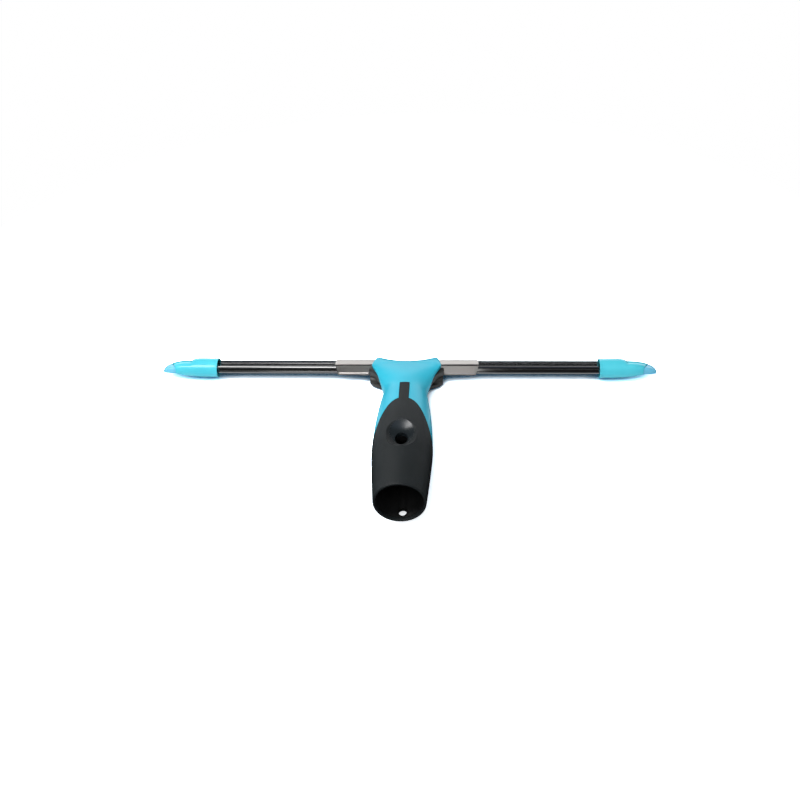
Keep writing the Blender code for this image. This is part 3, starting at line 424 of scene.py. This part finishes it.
upper = (WEB + UPPER_BEND, TOP - UPPER_BEND)
lower = (WEB + LOWER_BEND, LOW + LOWER_BEND)
outline = [(FLANGE_FRONT, TOP + FLANGE_RISE - STEEL), (FLANGE_FRONT, TOP + FLANGE_RISE)]
outline += arc(upper, UPPER_BEND, 90.0, 180.0, 6)
outline += arc(lower, LOWER_BEND, 180.0, 270.0, 8)
outline += [(LIP_FRONT, LOW), (LIP_FRONT, LOW + STEEL)]
outline += arc(lower, LOWER_BEND - STEEL, 270.0, 180.0, 8)
outline += arc(upper, UPPER_BEND - STEEL, 180.0, 90.0, 6)
bracket = extruded("folded_bracket", outline, -BLANK_HALF, BLANK_HALF, Matrix.Identity(4))
notch = block("notch", (-NOTCH_HALF, -0.0020, TOP - 0.0013), (NOTCH_HALF, 0.0120, TOP + 0.0030))
left_slit = block("left_slit", (-0.0560, WEB - 0.001, SLIT_LOW), (-SLIT_START, WEB + 0.001, TOP - 0.0003))
right_slit = block("right_slit", (SLIT_START, WEB - 0.001, SLIT_LOW), (0.0560, WEB + 0.001, TOP - 0.0003))
carved(bracket, notch, left_slit, right_slit)
pick(bracket)
bpy.ops.object.mode_set(mode="EDIT")
for side in (-1, 1):
    bpy.ops.mesh.select_all(action="SELECT")
    bpy.ops.mesh.bisect(
        plane_co=(side * BRACKET_HALF, 0.0, 0.0), plane_no=(side, 0.0, -END_SLANT),
        use_fill=True, clear_outer=True, clear_inner=False,
    )
    bpy.ops.mesh.select_all(action="SELECT")
    bpy.ops.mesh.bisect(plane_co=(side * PANEL_START, 0.0, 0.0), plane_no=(1.0, 0.0, 0.0))
bpy.ops.object.mode_set(mode="OBJECT")
for face in bracket.data.polygons:
    on_web = face.normal.y < -0.99 and face.center.y < WEB + 0.00005 and face.center.z < 0.002
    face.select = on_web and abs(face.center.x) > 0.03
bpy.ops.object.mode_set(mode="EDIT")
bpy.ops.mesh.inset(thickness=0.0008, use_individual=True)
bpy.ops.mesh.inset(thickness=0.0002, depth=-0.0002, use_individual=True)
bpy.ops.object.mode_set(mode="OBJECT")
joined(bracket, block("tab", (-0.0345, 0.0024, LOW - 0.0012), (-0.0285, 0.0030, LOW + 0.0003)))
bracket.data.transform(CHANNEL)
eased(bracket, 0.00006, 2, 30.0)
worked(bracket, "WEIGHTED_NORMAL", keep_sharp=True)
spring_steel, tree, shader, place = finish("rolled spring steel", "#cbc6c2", 0.30, metallic=1.0)
grain(tree, place, shader, 1200.0, 0.05, 0.0001, stretch=(0.03, 1.0, 1.0))
tint(tree, place, shader, "#c1bbb7", "#d3cfcb", 40.0, stretch=(0.15, 1.0, 1.0))
dress(bracket, spring_steel)
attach(bracket, "handle")
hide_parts("steel_bracket")
for word in ("left", "right"):
    dress(nodes["bracket_rivet_" + word], spring_steel)


# Jaw body, clamp lever and its pin
# Dark glass-filled nylon mouldings under the shell. The jaw carries the bracket, and the lever turns on a
# steel pin in the jaw's ears. Both have satin faces with softened edges.

def remoulded(node, name, radius, angle=40.0):
    """A welded copy of a CAD piece, its flat faces made whole and its edges rounded."""
    piece = bpy.data.objects.new(name, nodes[node].data.copy())
    bpy.context.scene.collection.objects.link(piece)
    pick(piece)
    bpy.ops.object.mode_set(mode="EDIT")
    bpy.ops.mesh.select_all(action="SELECT")
    bpy.ops.mesh.remove_doubles(threshold=0.00002)
    bpy.ops.mesh.dissolve_limited(angle_limit=math.radians(1.0))
    bpy.ops.object.mode_set(mode="OBJECT")
    eased(piece, radius, 2, angle)
    return piece


nylon, tree, shader, place = finish("glass-filled nylon", "#33322f", 0.42, ior=1.53)
grain(tree, place, shader, 1800.0, 0.20, 0.0002)
tint(tree, place, shader, "#2e2d2b", "#3a3936", 120.0)
for node, name, body in (("jaw_body", "moulded_jaw", "handle"), ("clamp_lever", "moulded_lever", "lever")):
    moulding = remoulded(node, name, 0.0004)
    dress(moulding, nylon)
    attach(moulding, body)
    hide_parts(node)
dress(nodes["lever_pin"], spring_steel)
for word in ("left", "right"):
    dress(nodes["head_screw_" + word], spring_steel)


# Handle core
# Black glass-filled nylon, moulded with the tapered socket for the pole. Only the socket's wall and the
# lock hole show, and little light gets in.

core_nylon, tree, shader, place = finish("black glass-filled nylon", "#0f0f10", 0.50, ior=1.53)
grain(tree, place, shader, 1500.0, 0.20, 0.0002)
tint(tree, place, shader, "#0c0c0d", "#141415", 90.0)
core = remoulded("handle_core", "moulded_core", 0.0002, 60.0)
dress(core, core_nylon)
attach(core, "handle")
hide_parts("handle_core")


# Head shell
# A hard cyan ABS moulding over the head and the front of the handle, with two wings over the channel.
# It has a satin gloss, and its thin edges catch the light along the seam with the soft grip.

# The handle at places behind the channel's back: its half width, the height at which it is that wide, the
# height of its top, the depth of its underside, and the height of the shell's lower edge
HALF_WIDTHS = mm(
    (1.0, 24.9), (9.1, 20.9), (15.85, 18.8), (20.98, 17.1), (28.0, 15.4), (35.98, 16.44), (49.0, 18.0),
    (64.6, 19.14), (88.0, 19.9), (104.5, 19.01), (120.11, 17.72), (132.6, 16.6),
)
WIDE_LINES = mm((1.0, 5.75), (9.1, 5.1), (15.85, 3.4), (20.98, 1.6), (28.0, 0.3), (35.98, 0.0), (132.6, 0.0))
TOPS = mm(
    (1.0, 7.2), (9.1, 9.6), (15.85, 11.2), (20.98, 12.1), (28.0, 13.0), (35.98, 14.0), (49.0, 15.7),
    (64.6, 17.8), (88.0, 19.9), (104.5, 19.01), (120.11, 17.72), (132.6, 16.6),
)
UNDERSIDES = mm(
    (27.5, 10.8), (35.98, 12.6), (49.0, 14.9), (64.6, 17.3), (88.0, 19.2), (104.5, 18.68), (120.11, 17.59),
    (132.6, 16.6),
)
RIMS = mm((15.85, 3.4), (20.98, 1.2), (29.0, -1.7), (132.6, -1.7))
WING_PLACE = 0.0010
TONGUE_PLACE = 0.0302
ARCH_PLACE = 0.0500
ARCH_LENGTH = 0.0335
ARCH_END = ARCH_PLACE + ARCH_LENGTH
HALF_TONGUE = 0.0033
SEAM = 0.0002
BELLY_HALF = 0.0199
ARCH_CURVE = 2.5
WING_HALF = 0.0249
FRONT_HALF = 0.0194
# Depth and height over the channel of the front edge: in the middle, and at the wings
FRONT_EDGE = ((0.0046, 0.0059), (0.0106, 0.0071))
CHANNEL_LEAN = math.radians(19.5)
HOLLOW_SPAN = 0.90
FRONT_BULGE = 0.0006
CORNER_START = 0.80
CORNER_SPAN = 0.20
CORNER_DEPTH = 0.0040
CORNER_DROP = 0.0008
SHELL_WALL = 0.0013


def skin(place, angle):
    """Point of the handle's surface, at an angle from the top towards +X."""
    half_width = smooth(HALF_WIDTHS, place)
    wide_line = smooth(WIDE_LINES, place)
    if math.cos(angle) >= 0:
        rise = smooth(TOPS, place) - wide_line
    else:
        rise = smooth(UNDERSIDES, place) + wide_line
    return Vector((half_width * math.sin(angle), -place, wide_line + rise * math.cos(angle)))


def rim_angle(place, lower=0.0):
    """Angle at which the shell's lower edge runs."""
    wide_line = smooth(WIDE_LINES, place)
    rim = min(smooth(RIMS, place), wide_line) - lower
    drop = smooth(UNDERSIDES, place) + wide_line
    return math.pi / 2 + math.asin(min((wide_line - rim) / drop, 1.0))


def beside_tongue(place, reach):
    return math.asin(reach / smooth(HALF_WIDTHS, place))


def arch_place(angle, reach):
    """Where the pointed arch lies along the handle, at an angle from the top."""
    if angle >= math.pi / 2:
        return ARCH_END
    place = ARCH_PLACE
    for _ in range(8):
        x = max(smooth(HALF_WIDTHS, place) * math.sin(angle), reach)
        place = ARCH_PLACE + ARCH_LENGTH * (x / BELLY_HALF) ** ARCH_CURVE
    return min(place, ARCH_END)


def front_point(share, angle):
    """Point between the wing tips, share 0, and the shell's hollow front edge, share 1."""
    back = skin(WING_PLACE, angle)
    across = back.x / WING_HALF
    ends = []
    for depth, height in FRONT_EDGE:
        ends.append((
            -depth * math.cos(CHANNEL_LEAN) - height * math.sin(CHANNEL_LEAN),
            -depth * math.sin(CHANNEL_LEAN) + height * math.cos(CHANNEL_LEAN),
        ))
    corner = math.pi / 2 * max(0.0, (abs(across) - CORNER_START) / CORNER_SPAN)
    hollow = min(abs(across) / HOLLOW_SPAN, 1.0) ** 2
    place = ends[0][0] + (ends[1][0] - ends[0][0]) * hollow + CORNER_DEPTH * (1 - math.cos(corner))
    height = ends[0][1] + (ends[1][1] - ends[0][1]) * hollow - CORNER_DROP * (1 - math.cos(corner))
    front = FRONT_HALF * min(abs(across), CORNER_START) / CORNER_START + CORNER_DEPTH * math.sin(corner)
    x = across * (1 - share) * WING_HALF + share * math.copysign(front, across)
    bulge = FRONT_BULGE * math.sin(math.pi * share)
    y = back.y * (1 - share) - place * share
    return Vector((x, y, back.z * (1 - share) + height * share + bulge))


SIDE_COLUMNS = 24
TONGUE_COLUMNS = 6
FRONT_ROWS = 8
HEAD_ROWS = 16
BACK_ROWS = 28


def shell_point(column, row):
    """Point of the shell: rows from its front edge to the arch, columns from left edge to right edge."""
    reach = HALF_TONGUE + SEAM
    side = -1 if column < SIDE_COLUMNS + TONGUE_COLUMNS / 2 else 1
    out = abs(column - SIDE_COLUMNS - TONGUE_COLUMNS / 2) - TONGUE_COLUMNS / 2
    share = max(out, 0) / SIDE_COLUMNS
    middle = 1 + min(out, 0) / (TONGUE_COLUMNS / 2)

    def on_edge(place):
        return beside_tongue(place, reach) if share < 0.5 else rim_angle(place)

    def angle_at(place):
        near = beside_tongue(place, reach)
        if out < 0:
            return beside_tongue(place, reach * middle)
        return near + (rim_angle(place) - near) * share

    if row <= FRONT_ROWS:
        return front_point(1 - row / FRONT_ROWS, side * angle_at(WING_PLACE))
    if row <= FRONT_ROWS + HEAD_ROWS:
        along = (row - FRONT_ROWS) / HEAD_ROWS
        place = WING_PLACE + (TONGUE_PLACE - SEAM - WING_PLACE) * along
        return skin(place, side * angle_at(place))
    along = (row - FRONT_ROWS - HEAD_ROWS) / BACK_ROWS
    start = TONGUE_PLACE - SEAM
    first = beside_tongue(ARCH_PLACE, reach)
    last = first + (rim_angle(ARCH_END) - first) * share
    end = arch_place(last, reach) - SEAM * 1.5
    place = start + (end - start) * along
    angle = angle_at(start) + (last - angle_at(start)) * along
    # Beside the tongue and along the lower edge, the columns keep to the edge's own line
    usual = on_edge(start)
    usual += (on_edge(ARCH_PLACE if share < 0.5 else ARCH_END) - usual) * along
    angle += (on_edge(place) - usual) * max(1 - share * 4, 4 * share - 3, 0)
    return skin(place, side * angle)


def over_shell(column, row):
    tongue = SIDE_COLUMNS <= column < SIDE_COLUMNS + TONGUE_COLUMNS
    return not (tongue and row >= FRONT_ROWS + HEAD_ROWS)


shell = shaped_grid(
    "moulded_shell", 2 * SIDE_COLUMNS + TONGUE_COLUMNS, FRONT_ROWS + HEAD_ROWS + BACK_ROWS,
    shell_point, HANDLE, over_shell,
)
worked(shell, "SOLIDIFY", thickness=SHELL_WALL, offset=-1.0, use_even_offset=True)
worked(shell, "BEVEL", width=0.0003, segments=2, limit_method="ANGLE", angle_limit=math.radians(50.0))
worked(shell, "SUBSURF", levels=1, render_levels=1)
pick(shell)
bpy.ops.object.shade_smooth()
abs_plastic, tree, shader, place = finish("satin moulded ABS", "#22b5d0", 0.38, ior=1.46)
grain(tree, place, shader, 900.0, 0.08, 0.0002)
tint(tree, place, shader, "#20b0cc", "#28b9d4", 40.0)
dress(shell, abs_plastic)
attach(shell, "handle")
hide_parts("head_shell")


# Soft grip
# Dark grey thermoplastic rubber, moulded over the core: a tongue, a pointed arch, a thumb recess with the
# lock hole, and a lip round the mouth. It is matte, with a fine spark-eroded grain, but a patch of the
# recess's wall is smoother, as from a polished pin of the mould, and mirrors the light, and it is coloured
# lighter than the rest: a painted highlight. A small oval hole is bored through below.

LOWER_COLUMNS = 20
FORE_ROWS = 24
ARCH_ROWS = 26
CUFF_ROWS = 16
GRIP_FRONT = 0.0278
UNDER_SHELL = 0.0006
BELT = 0.1040
CUFF_END = 0.1310
GRIP_WALL = 0.0008
COLUMNS = 2 * (LOWER_COLUMNS + SIDE_COLUMNS) + TONGUE_COLUMNS
# Place and radius of the rings that turn the lip inwards at the mouth
LIP = [
    (0.1321, 0.0166), (0.13245, 0.01648), (0.1326, 0.0161), (0.1326, 0.01555), (0.13248, 0.01522),
    (0.1321, 0.01508), (0.1302, 0.01500),
]


def column_angle(column, place, reach):
    """Angle of a column: negative to the left of the top."""
    middle = COLUMNS / 2
    out = abs(column - middle)
    side = -1 if column < middle else 1
    if out <= TONGUE_COLUMNS / 2:
        return side * beside_tongue(place, reach * out / (TONGUE_COLUMNS / 2))
    near = beside_tongue(place, reach)
    rim = rim_angle(place, UNDER_SHELL)
    out -= TONGUE_COLUMNS / 2
    if out <= SIDE_COLUMNS:
        return side * (near + (rim - near) * out / SIDE_COLUMNS)
    return side * (rim + (math.pi - rim) * (out - SIDE_COLUMNS) / LOWER_COLUMNS)


def grip_place(column, row):
    """Place along the handle and angle of a grid corner, between the front edges and the mouth."""
    out = abs(column - COLUMNS / 2)
    tongue = out <= TONGUE_COLUMNS / 2
    fixed = column_angle(column, ARCH_END, HALF_TONGUE)
    if tongue:
        fixed = column_angle(column, ARCH_PLACE, HALF_TONGUE)
    start = arch_place(abs(fixed), HALF_TONGUE)
    if row < FORE_ROWS:
        front = TONGUE_PLACE if tongue else GRIP_FRONT
        place = front + (start - front) * row / FORE_ROWS
        return place, column_angle(column, place, HALF_TONGUE)
    row -= FORE_ROWS
    if row <= ARCH_ROWS:
        return start + (BELT - start) * row / ARCH_ROWS, fixed
    return BELT + (CUFF_END - BELT) * (row - ARCH_ROWS) / CUFF_ROWS, fixed


def grip_point(column, row):
    """Point of the grip: rows from its front edges to the mouth, and on round the lip."""
    last = FORE_ROWS + ARCH_ROWS + CUFF_ROWS
    if row > last:
        place, radius = LIP[row - last - 1]
        angle = grip_place(column, last)[1]
        return Vector((radius * math.sin(angle), -place, radius * math.cos(angle)))
    place, angle = grip_place(column, row)
    return skin(place, angle)


RECESS_COLUMNS = (COLUMNS // 2 - 11, COLUMNS // 2 + 11)
RECESS_ROWS = (FORE_ROWS + 11, FORE_ROWS + ARCH_ROWS)
RIM_PLACE = 0.0886
RIM_HALF_LENGTH = 0.0129
RIM_HALF_WIDTH = 0.0100
RIM_FULLNESS = 0.06
RIM_SAG = 0.0020
CONE_CURVE = 1.7
HOLE_PLACE = 0.0904
HOLE_HALF_LENGTH = 0.0056
HOLE_HALF_WIDTH = 0.0042
HOLE_HEIGHT = 0.0151
HOLE_WALL = 0.0030
# A patch of the recess's wall that is smoother than the grip and coloured lighter: a painted highlight
HIGHLIGHT_PATCH_PLACE = 0.0852
HIGHLIGHT_PATCH_HALF_WIDTH = 0.0078
HIGHLIGHT_PATCH_HALF_LENGTH = 0.0096
HIGHLIGHT_PATCH_HEIGHT = 0.0110
DRILL_HALF_WIDTH = 0.0026
DRILL_HALF_LENGTH = 0.0031
DRILL_PLACE = (0.0014, -0.1258, -0.0160)


def over_grip(column, row):
    out = abs(column + 0.5 - COLUMNS / 2)
    on_arch = TONGUE_COLUMNS / 2 < out < TONGUE_COLUMNS / 2 + SIDE_COLUMNS
    recess = RECESS_COLUMNS[0] <= column < RECESS_COLUMNS[1] and RECESS_ROWS[0] <= row < RECESS_ROWS[1]
    return not (on_arch and row < FORE_ROWS) and not recess


recess_edge = [(column, RECESS_ROWS[0]) for column in range(RECESS_COLUMNS[0], RECESS_COLUMNS[1])]
recess_edge += [(RECESS_COLUMNS[1], row) for row in range(RECESS_ROWS[0], RECESS_ROWS[1])]
recess_edge += [(column, RECESS_ROWS[1]) for column in range(RECESS_COLUMNS[1], RECESS_COLUMNS[0], -1)]
recess_edge += [(RECESS_COLUMNS[0], row) for row in range(RECESS_ROWS[1], RECESS_ROWS[0], -1)]
# For each ring: its share of the way over the skin to the rim, or else its share of the way down the cone
RECESS = [
    (0.4, 0.0), (0.75, 0.0), (0.92, 0.0), (1.0, 0.0), (0.0, 0.04), (0.0, 0.10), (0.0, 0.22), (0.0, 0.40),
    (0.0, 0.60), (0.0, 0.78), (0.0, 0.90), (0.0, 0.97), (0.0, 1.0), (0.0, 1.05), (0.0, 1.3), (0.0, 2.0),
]


def recess_point(column, row):
    """From the grid's edge to the rim on the skin, down the cone, and into the oval lock hole."""
    place, angle = grip_place(*recess_edge[column % len(recess_edge)])
    edge = skin(place, angle)
    if row == 0:
        return edge
    turn = math.atan2(edge.x / RIM_HALF_WIDTH, -(place - RIM_PLACE) / RIM_HALF_LENGTH)
    full = 1.0 if math.cos(turn) > 0 else 1.0 + RIM_FULLNESS * math.sin(2 * turn) ** 2
    rim_x = RIM_HALF_WIDTH * math.sin(turn) * full
    rim_place = RIM_PLACE - RIM_HALF_LENGTH * math.cos(turn) * full - RIM_SAG * math.sin(turn) ** 2
    rim = skin(rim_place, math.asin(rim_x / smooth(HALF_WIDTHS, rim_place)))
    hole_place = HOLE_PLACE - HOLE_HALF_LENGTH * math.cos(turn)
    hole = Vector((HOLE_HALF_WIDTH * math.sin(turn), -hole_place, HOLE_HEIGHT))
    over, down = RECESS[row - 1]
    if over:
        between = place + (rim_place - place) * over
        x = edge.x + (rim.x - edge.x) * over
        return skin(between, math.asin(x / smooth(HALF_WIDTHS, between)))
    if down <= 1.0:
        fall = (rim.z - hole.z) * (1 - down - (1 - down) ** CONE_CURVE)
        return rim + (hole - rim) * down - Vector((0.0, 0.0, fall))
    return hole - Vector((0.0, 0.0, HOLE_WALL * (down - 1.0)))


rows = FORE_ROWS + ARCH_ROWS + CUFF_ROWS + len(LIP)
grip = shaped_grid("overmoulded_grip", COLUMNS, rows, grip_point, HANDLE, over_grip)
recess = shaped_grid("thumb_recess", len(recess_edge), len(RECESS), recess_point, HANDLE)
joined(grip, recess)
bpy.ops.object.mode_set(mode="EDIT")
bpy.ops.mesh.select_all(action="SELECT")
bpy.ops.mesh.remove_doubles(threshold=0.00001)
bpy.ops.mesh.normals_make_consistent(inside=False)
bpy.ops.object.mode_set(mode="OBJECT")
worked(grip, "SOLIDIFY", thickness=GRIP_WALL, offset=-1.0)
worked(grip, "BEVEL", width=0.00025, segments=2, limit_method="ANGLE", angle_limit=math.radians(60.0))
worked(grip, "SUBSURF", levels=1, render_levels=1)
pick(grip)
bpy.ops.object.shade_smooth()
grip_rubber, tree, shader, place = finish("overmoulded thermoplastic rubber", "#12191b", 0.60, ior=1.43)
grain(tree, place, shader, 2200.0, 0.22, 0.0002)
tint(tree, place, shader, "#101719", "#151b1e", 70.0)
dress(grip, grip_rubber)
# Rubber for that patch: its low roughness gives a real sheen, and its lighter colour is a painted highlight
glossy_rubber_painted_highlight, tree, shader, place = finish("glossy thermoplastic rubber with painted highlight", "#1b2224", 0.25, ior=1.56)
grain(tree, place, shader, 2200.0, 0.03, 0.0002)
tint(tree, place, shader, "#191f22", "#1e2528", 70.0)
grip.data.materials.append(glossy_rubber_painted_highlight)
# Faces inside the patch take the smoother, lighter rubber, a painted highlight
for face in grip.data.polygons:
    spot = HANDLE.inverted() @ face.center
    across = spot.x / HIGHLIGHT_PATCH_HALF_WIDTH
    along = (spot.y + HIGHLIGHT_PATCH_PLACE) / HIGHLIGHT_PATCH_HALF_LENGTH
    face.material_index = 1 if across**2 + along**2 < 1 and spot.z > HIGHLIGHT_PATCH_HEIGHT else 0
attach(grip, "handle")
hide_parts("soft_grip")
deselect()
bpy.ops.mesh.primitive_cylinder_add(vertices=32, radius=1.0, depth=0.02)
drill = bpy.context.object
drill.data.transform(Matrix.Diagonal((DRILL_HALF_WIDTH, DRILL_HALF_LENGTH, 1.0, 1.0)))
drill.data.transform(HANDLE @ Matrix.Translation(DRILL_PLACE))
carved(grip, drill)


# Floor, light and camera
# A plain white table with a cool shadow, under a main soft box high on the left, a weak bluish one above on
# the right, and a card high on the near side. A wide lit card far behind and a small one low in front are
# what the channel, the bracket and the tips mirror.

deselect()
bpy.ops.mesh.primitive_plane_add(size=6.0, location=(0.0, 0.0, -0.0002))
floor = bpy.context.object
floor.name = "floor"
paper = bpy.data.materials.new("white paper")
paper.use_nodes = True
tree = paper.node_tree
tree.nodes.clear()
# Other rays meet matte paper, and mirrored ones also two dark strips, as black cloths beside the tool give
matte = add(tree, "BsdfDiffuse", {"Color": linear("#e6edf2")})
dark = add(tree, "BsdfDiffuse", {"Color": linear("#0c0d0e")})
# The camera sees lit paper, with a blue shadow where the tool closes it in, and plain white further out
lit = add(tree, "BsdfDiffuse", {"Color": (3.6, 4.0, 4.3, 1.0)})
deep = add(tree, "BsdfDiffuse", {"Color": (0.12, 0.35, 0.58, 1.0)})
closed = add(tree, "AmbientOcclusion", {"Distance": 0.03}, samples=12)
open_sky = add(tree, "MapRange", {"Value": closed.outputs["AO"], "From Min": 0.20, "From Max": 0.42})
near = add(tree, "MixShader", {0: open_sky.outputs[0], 1: deep.outputs[0], 2: lit.outputs[0]})
far = add(tree, "Emission", {"Color": (1.0, 1.0, 1.0, 1.0), "Strength": 1.0})
seen = add(tree, "LightPath")
where = add(tree, "TexCoord")
reach = add(tree, "VectorMath", {0: where.outputs["Object"]}, operation="LENGTH")
outer = add(tree, "MapRange", {"Value": reach.outputs["Value"], "From Min": 0.25, "From Max": 0.45})
lies = add(tree, "SeparateXYZ", {"Vector": where.outputs["Object"]})
# Under the handle's rear the paper is mixed part way to plain white: painted light over the handle's shadow
rear = {"Value": lies.outputs["Y"], "From Min": -0.03, "From Max": -0.06, "To Max": 0.65}
painted_light_under_handle = add(tree, "MapRange", rear)
faded = add(tree, "Math", {0: outer.outputs[0], 1: painted_light_under_handle.outputs[0]}, operation="MAXIMUM")
white = add(tree, "MixShader", {0: faded.outputs[0], 1: near.outputs[0], 2: far.outputs[0]})
behind = add(tree, "Math", {0: lies.outputs["Y"], 1: 0.130, 2: 0.055}, operation="COMPARE")
before = add(tree, "Math", {0: lies.outputs["Y"], 1: -0.080, 2: 0.105}, operation="COMPARE")
strips = add(tree, "Math", {0: behind.outputs[0], 1: before.outputs[0]}, operation="MAXIMUM")
mirrored = add(tree, "Math", {0: seen.outputs["Is Glossy Ray"], 1: strips.outputs[0]}, operation="MULTIPLY")
gloss = add(tree, "MixShader", {0: mirrored.outputs[0], 1: matte.outputs[0], 2: dark.outputs[0]})
choice = add(tree, "MixShader", {0: seen.outputs["Is Camera Ray"], 1: gloss.outputs[0], 2: white.outputs[0]})
surface = add(tree, "OutputMaterial")
tree.links.new(choice.outputs[0], surface.inputs["Surface"])
floor.data.materials.append(paper)

# A white room: dim where it is mirrored, apart from a lit backdrop low behind the tool
world = bpy.data.worlds.new("studio")
bpy.context.scene.world = world
world.use_nodes = True
tree = world.node_tree
back = tree.nodes["Background"]
back.inputs["Color"].default_value = (1.0, 1.0, 1.0, 1.0)
seen = add(tree, "LightPath")
towards = add(tree, "TexCoord")
lies = add(tree, "SeparateXYZ", {"Vector": towards.outputs["Generated"]})
low = add(tree, "MapRange", {"Value": lies.outputs["Z"], "From Min": 0.25, "From Max": 0.15})
rear = add(tree, "MapRange", {"Value": lies.outputs["Y"], "From Min": 0.2, "From Max": 0.5})
backdrop = add(tree, "Math", {0: low.outputs[0], 1: rear.outputs[0]}, operation="MULTIPLY")
mirror_level = add(tree, "MapRange", {"Value": backdrop.outputs[0], "To Min": 0.04, "To Max": 1.0})
level = add(tree, "MapRange", {"Value": seen.outputs["Is Glossy Ray"], "To Min": 0.42})
tree.links.new(mirror_level.outputs[0], level.inputs["To Max"])
shown = add(tree, "Math", {0: seen.outputs["Is Camera Ray"], 1: level.outputs[0]}, operation="MAXIMUM")
tree.links.new(shown.outputs[0], back.inputs["Strength"])


def lamp(name, place, aim, size, power, colour="#ffffff"):
    """A rectangular soft box that faces a point."""
    light = bpy.data.lights.new(name, "AREA")
    light.shape = "RECTANGLE"
    light.size, light.size_y = size
    light.energy = power
    light.color = linear(colour)[:3]
    box = bpy.data.objects.new(name, light)
    bpy.context.scene.collection.objects.link(box)
    box.location = place
    box.rotation_euler = (Vector(aim) - Vector(place)).to_track_quat("-Z", "Y").to_euler()
    return box


lamp("key_softbox", (-0.42, 0.0, 0.80), (0.0, 0.03, 0.0), (0.40, 0.60), 6.2)
lamp("top_softbox", (0.14, 0.05, 0.95), (0.0, 0.03, 0.0), (0.45, 0.60), 0.3, "#c4dcff")
lamp("high_card", (-0.14, -0.50, 0.80), (0.0, 0.0, 0.0), (0.30, 0.30), 1.7)
lamp("back_card", (0.0, 1.10, 0.17), (0.0, 0.03, 0.0), (1.6, 0.34), 2.2)
lamp("front_card", (0.05, -0.95, 0.15), (0.0, 0.03, 0.01), (0.10, 0.3), 0.20)

camera = bpy.data.objects.new("camera", bpy.data.cameras.new("camera"))
bpy.context.scene.collection.objects.link(camera)
camera.location = (0.02610, -0.40934, 0.46133)
camera.rotation_euler = [math.radians(angle) for angle in (44.1028, 1.8068, 2.0478)]
camera.data.sensor_width = 36.0
camera.data.lens = 40.5
camera.data.clip_start = 0.01
bpy.context.scene.camera = camera
bpy.context.scene.view_settings.view_transform = "Standard"
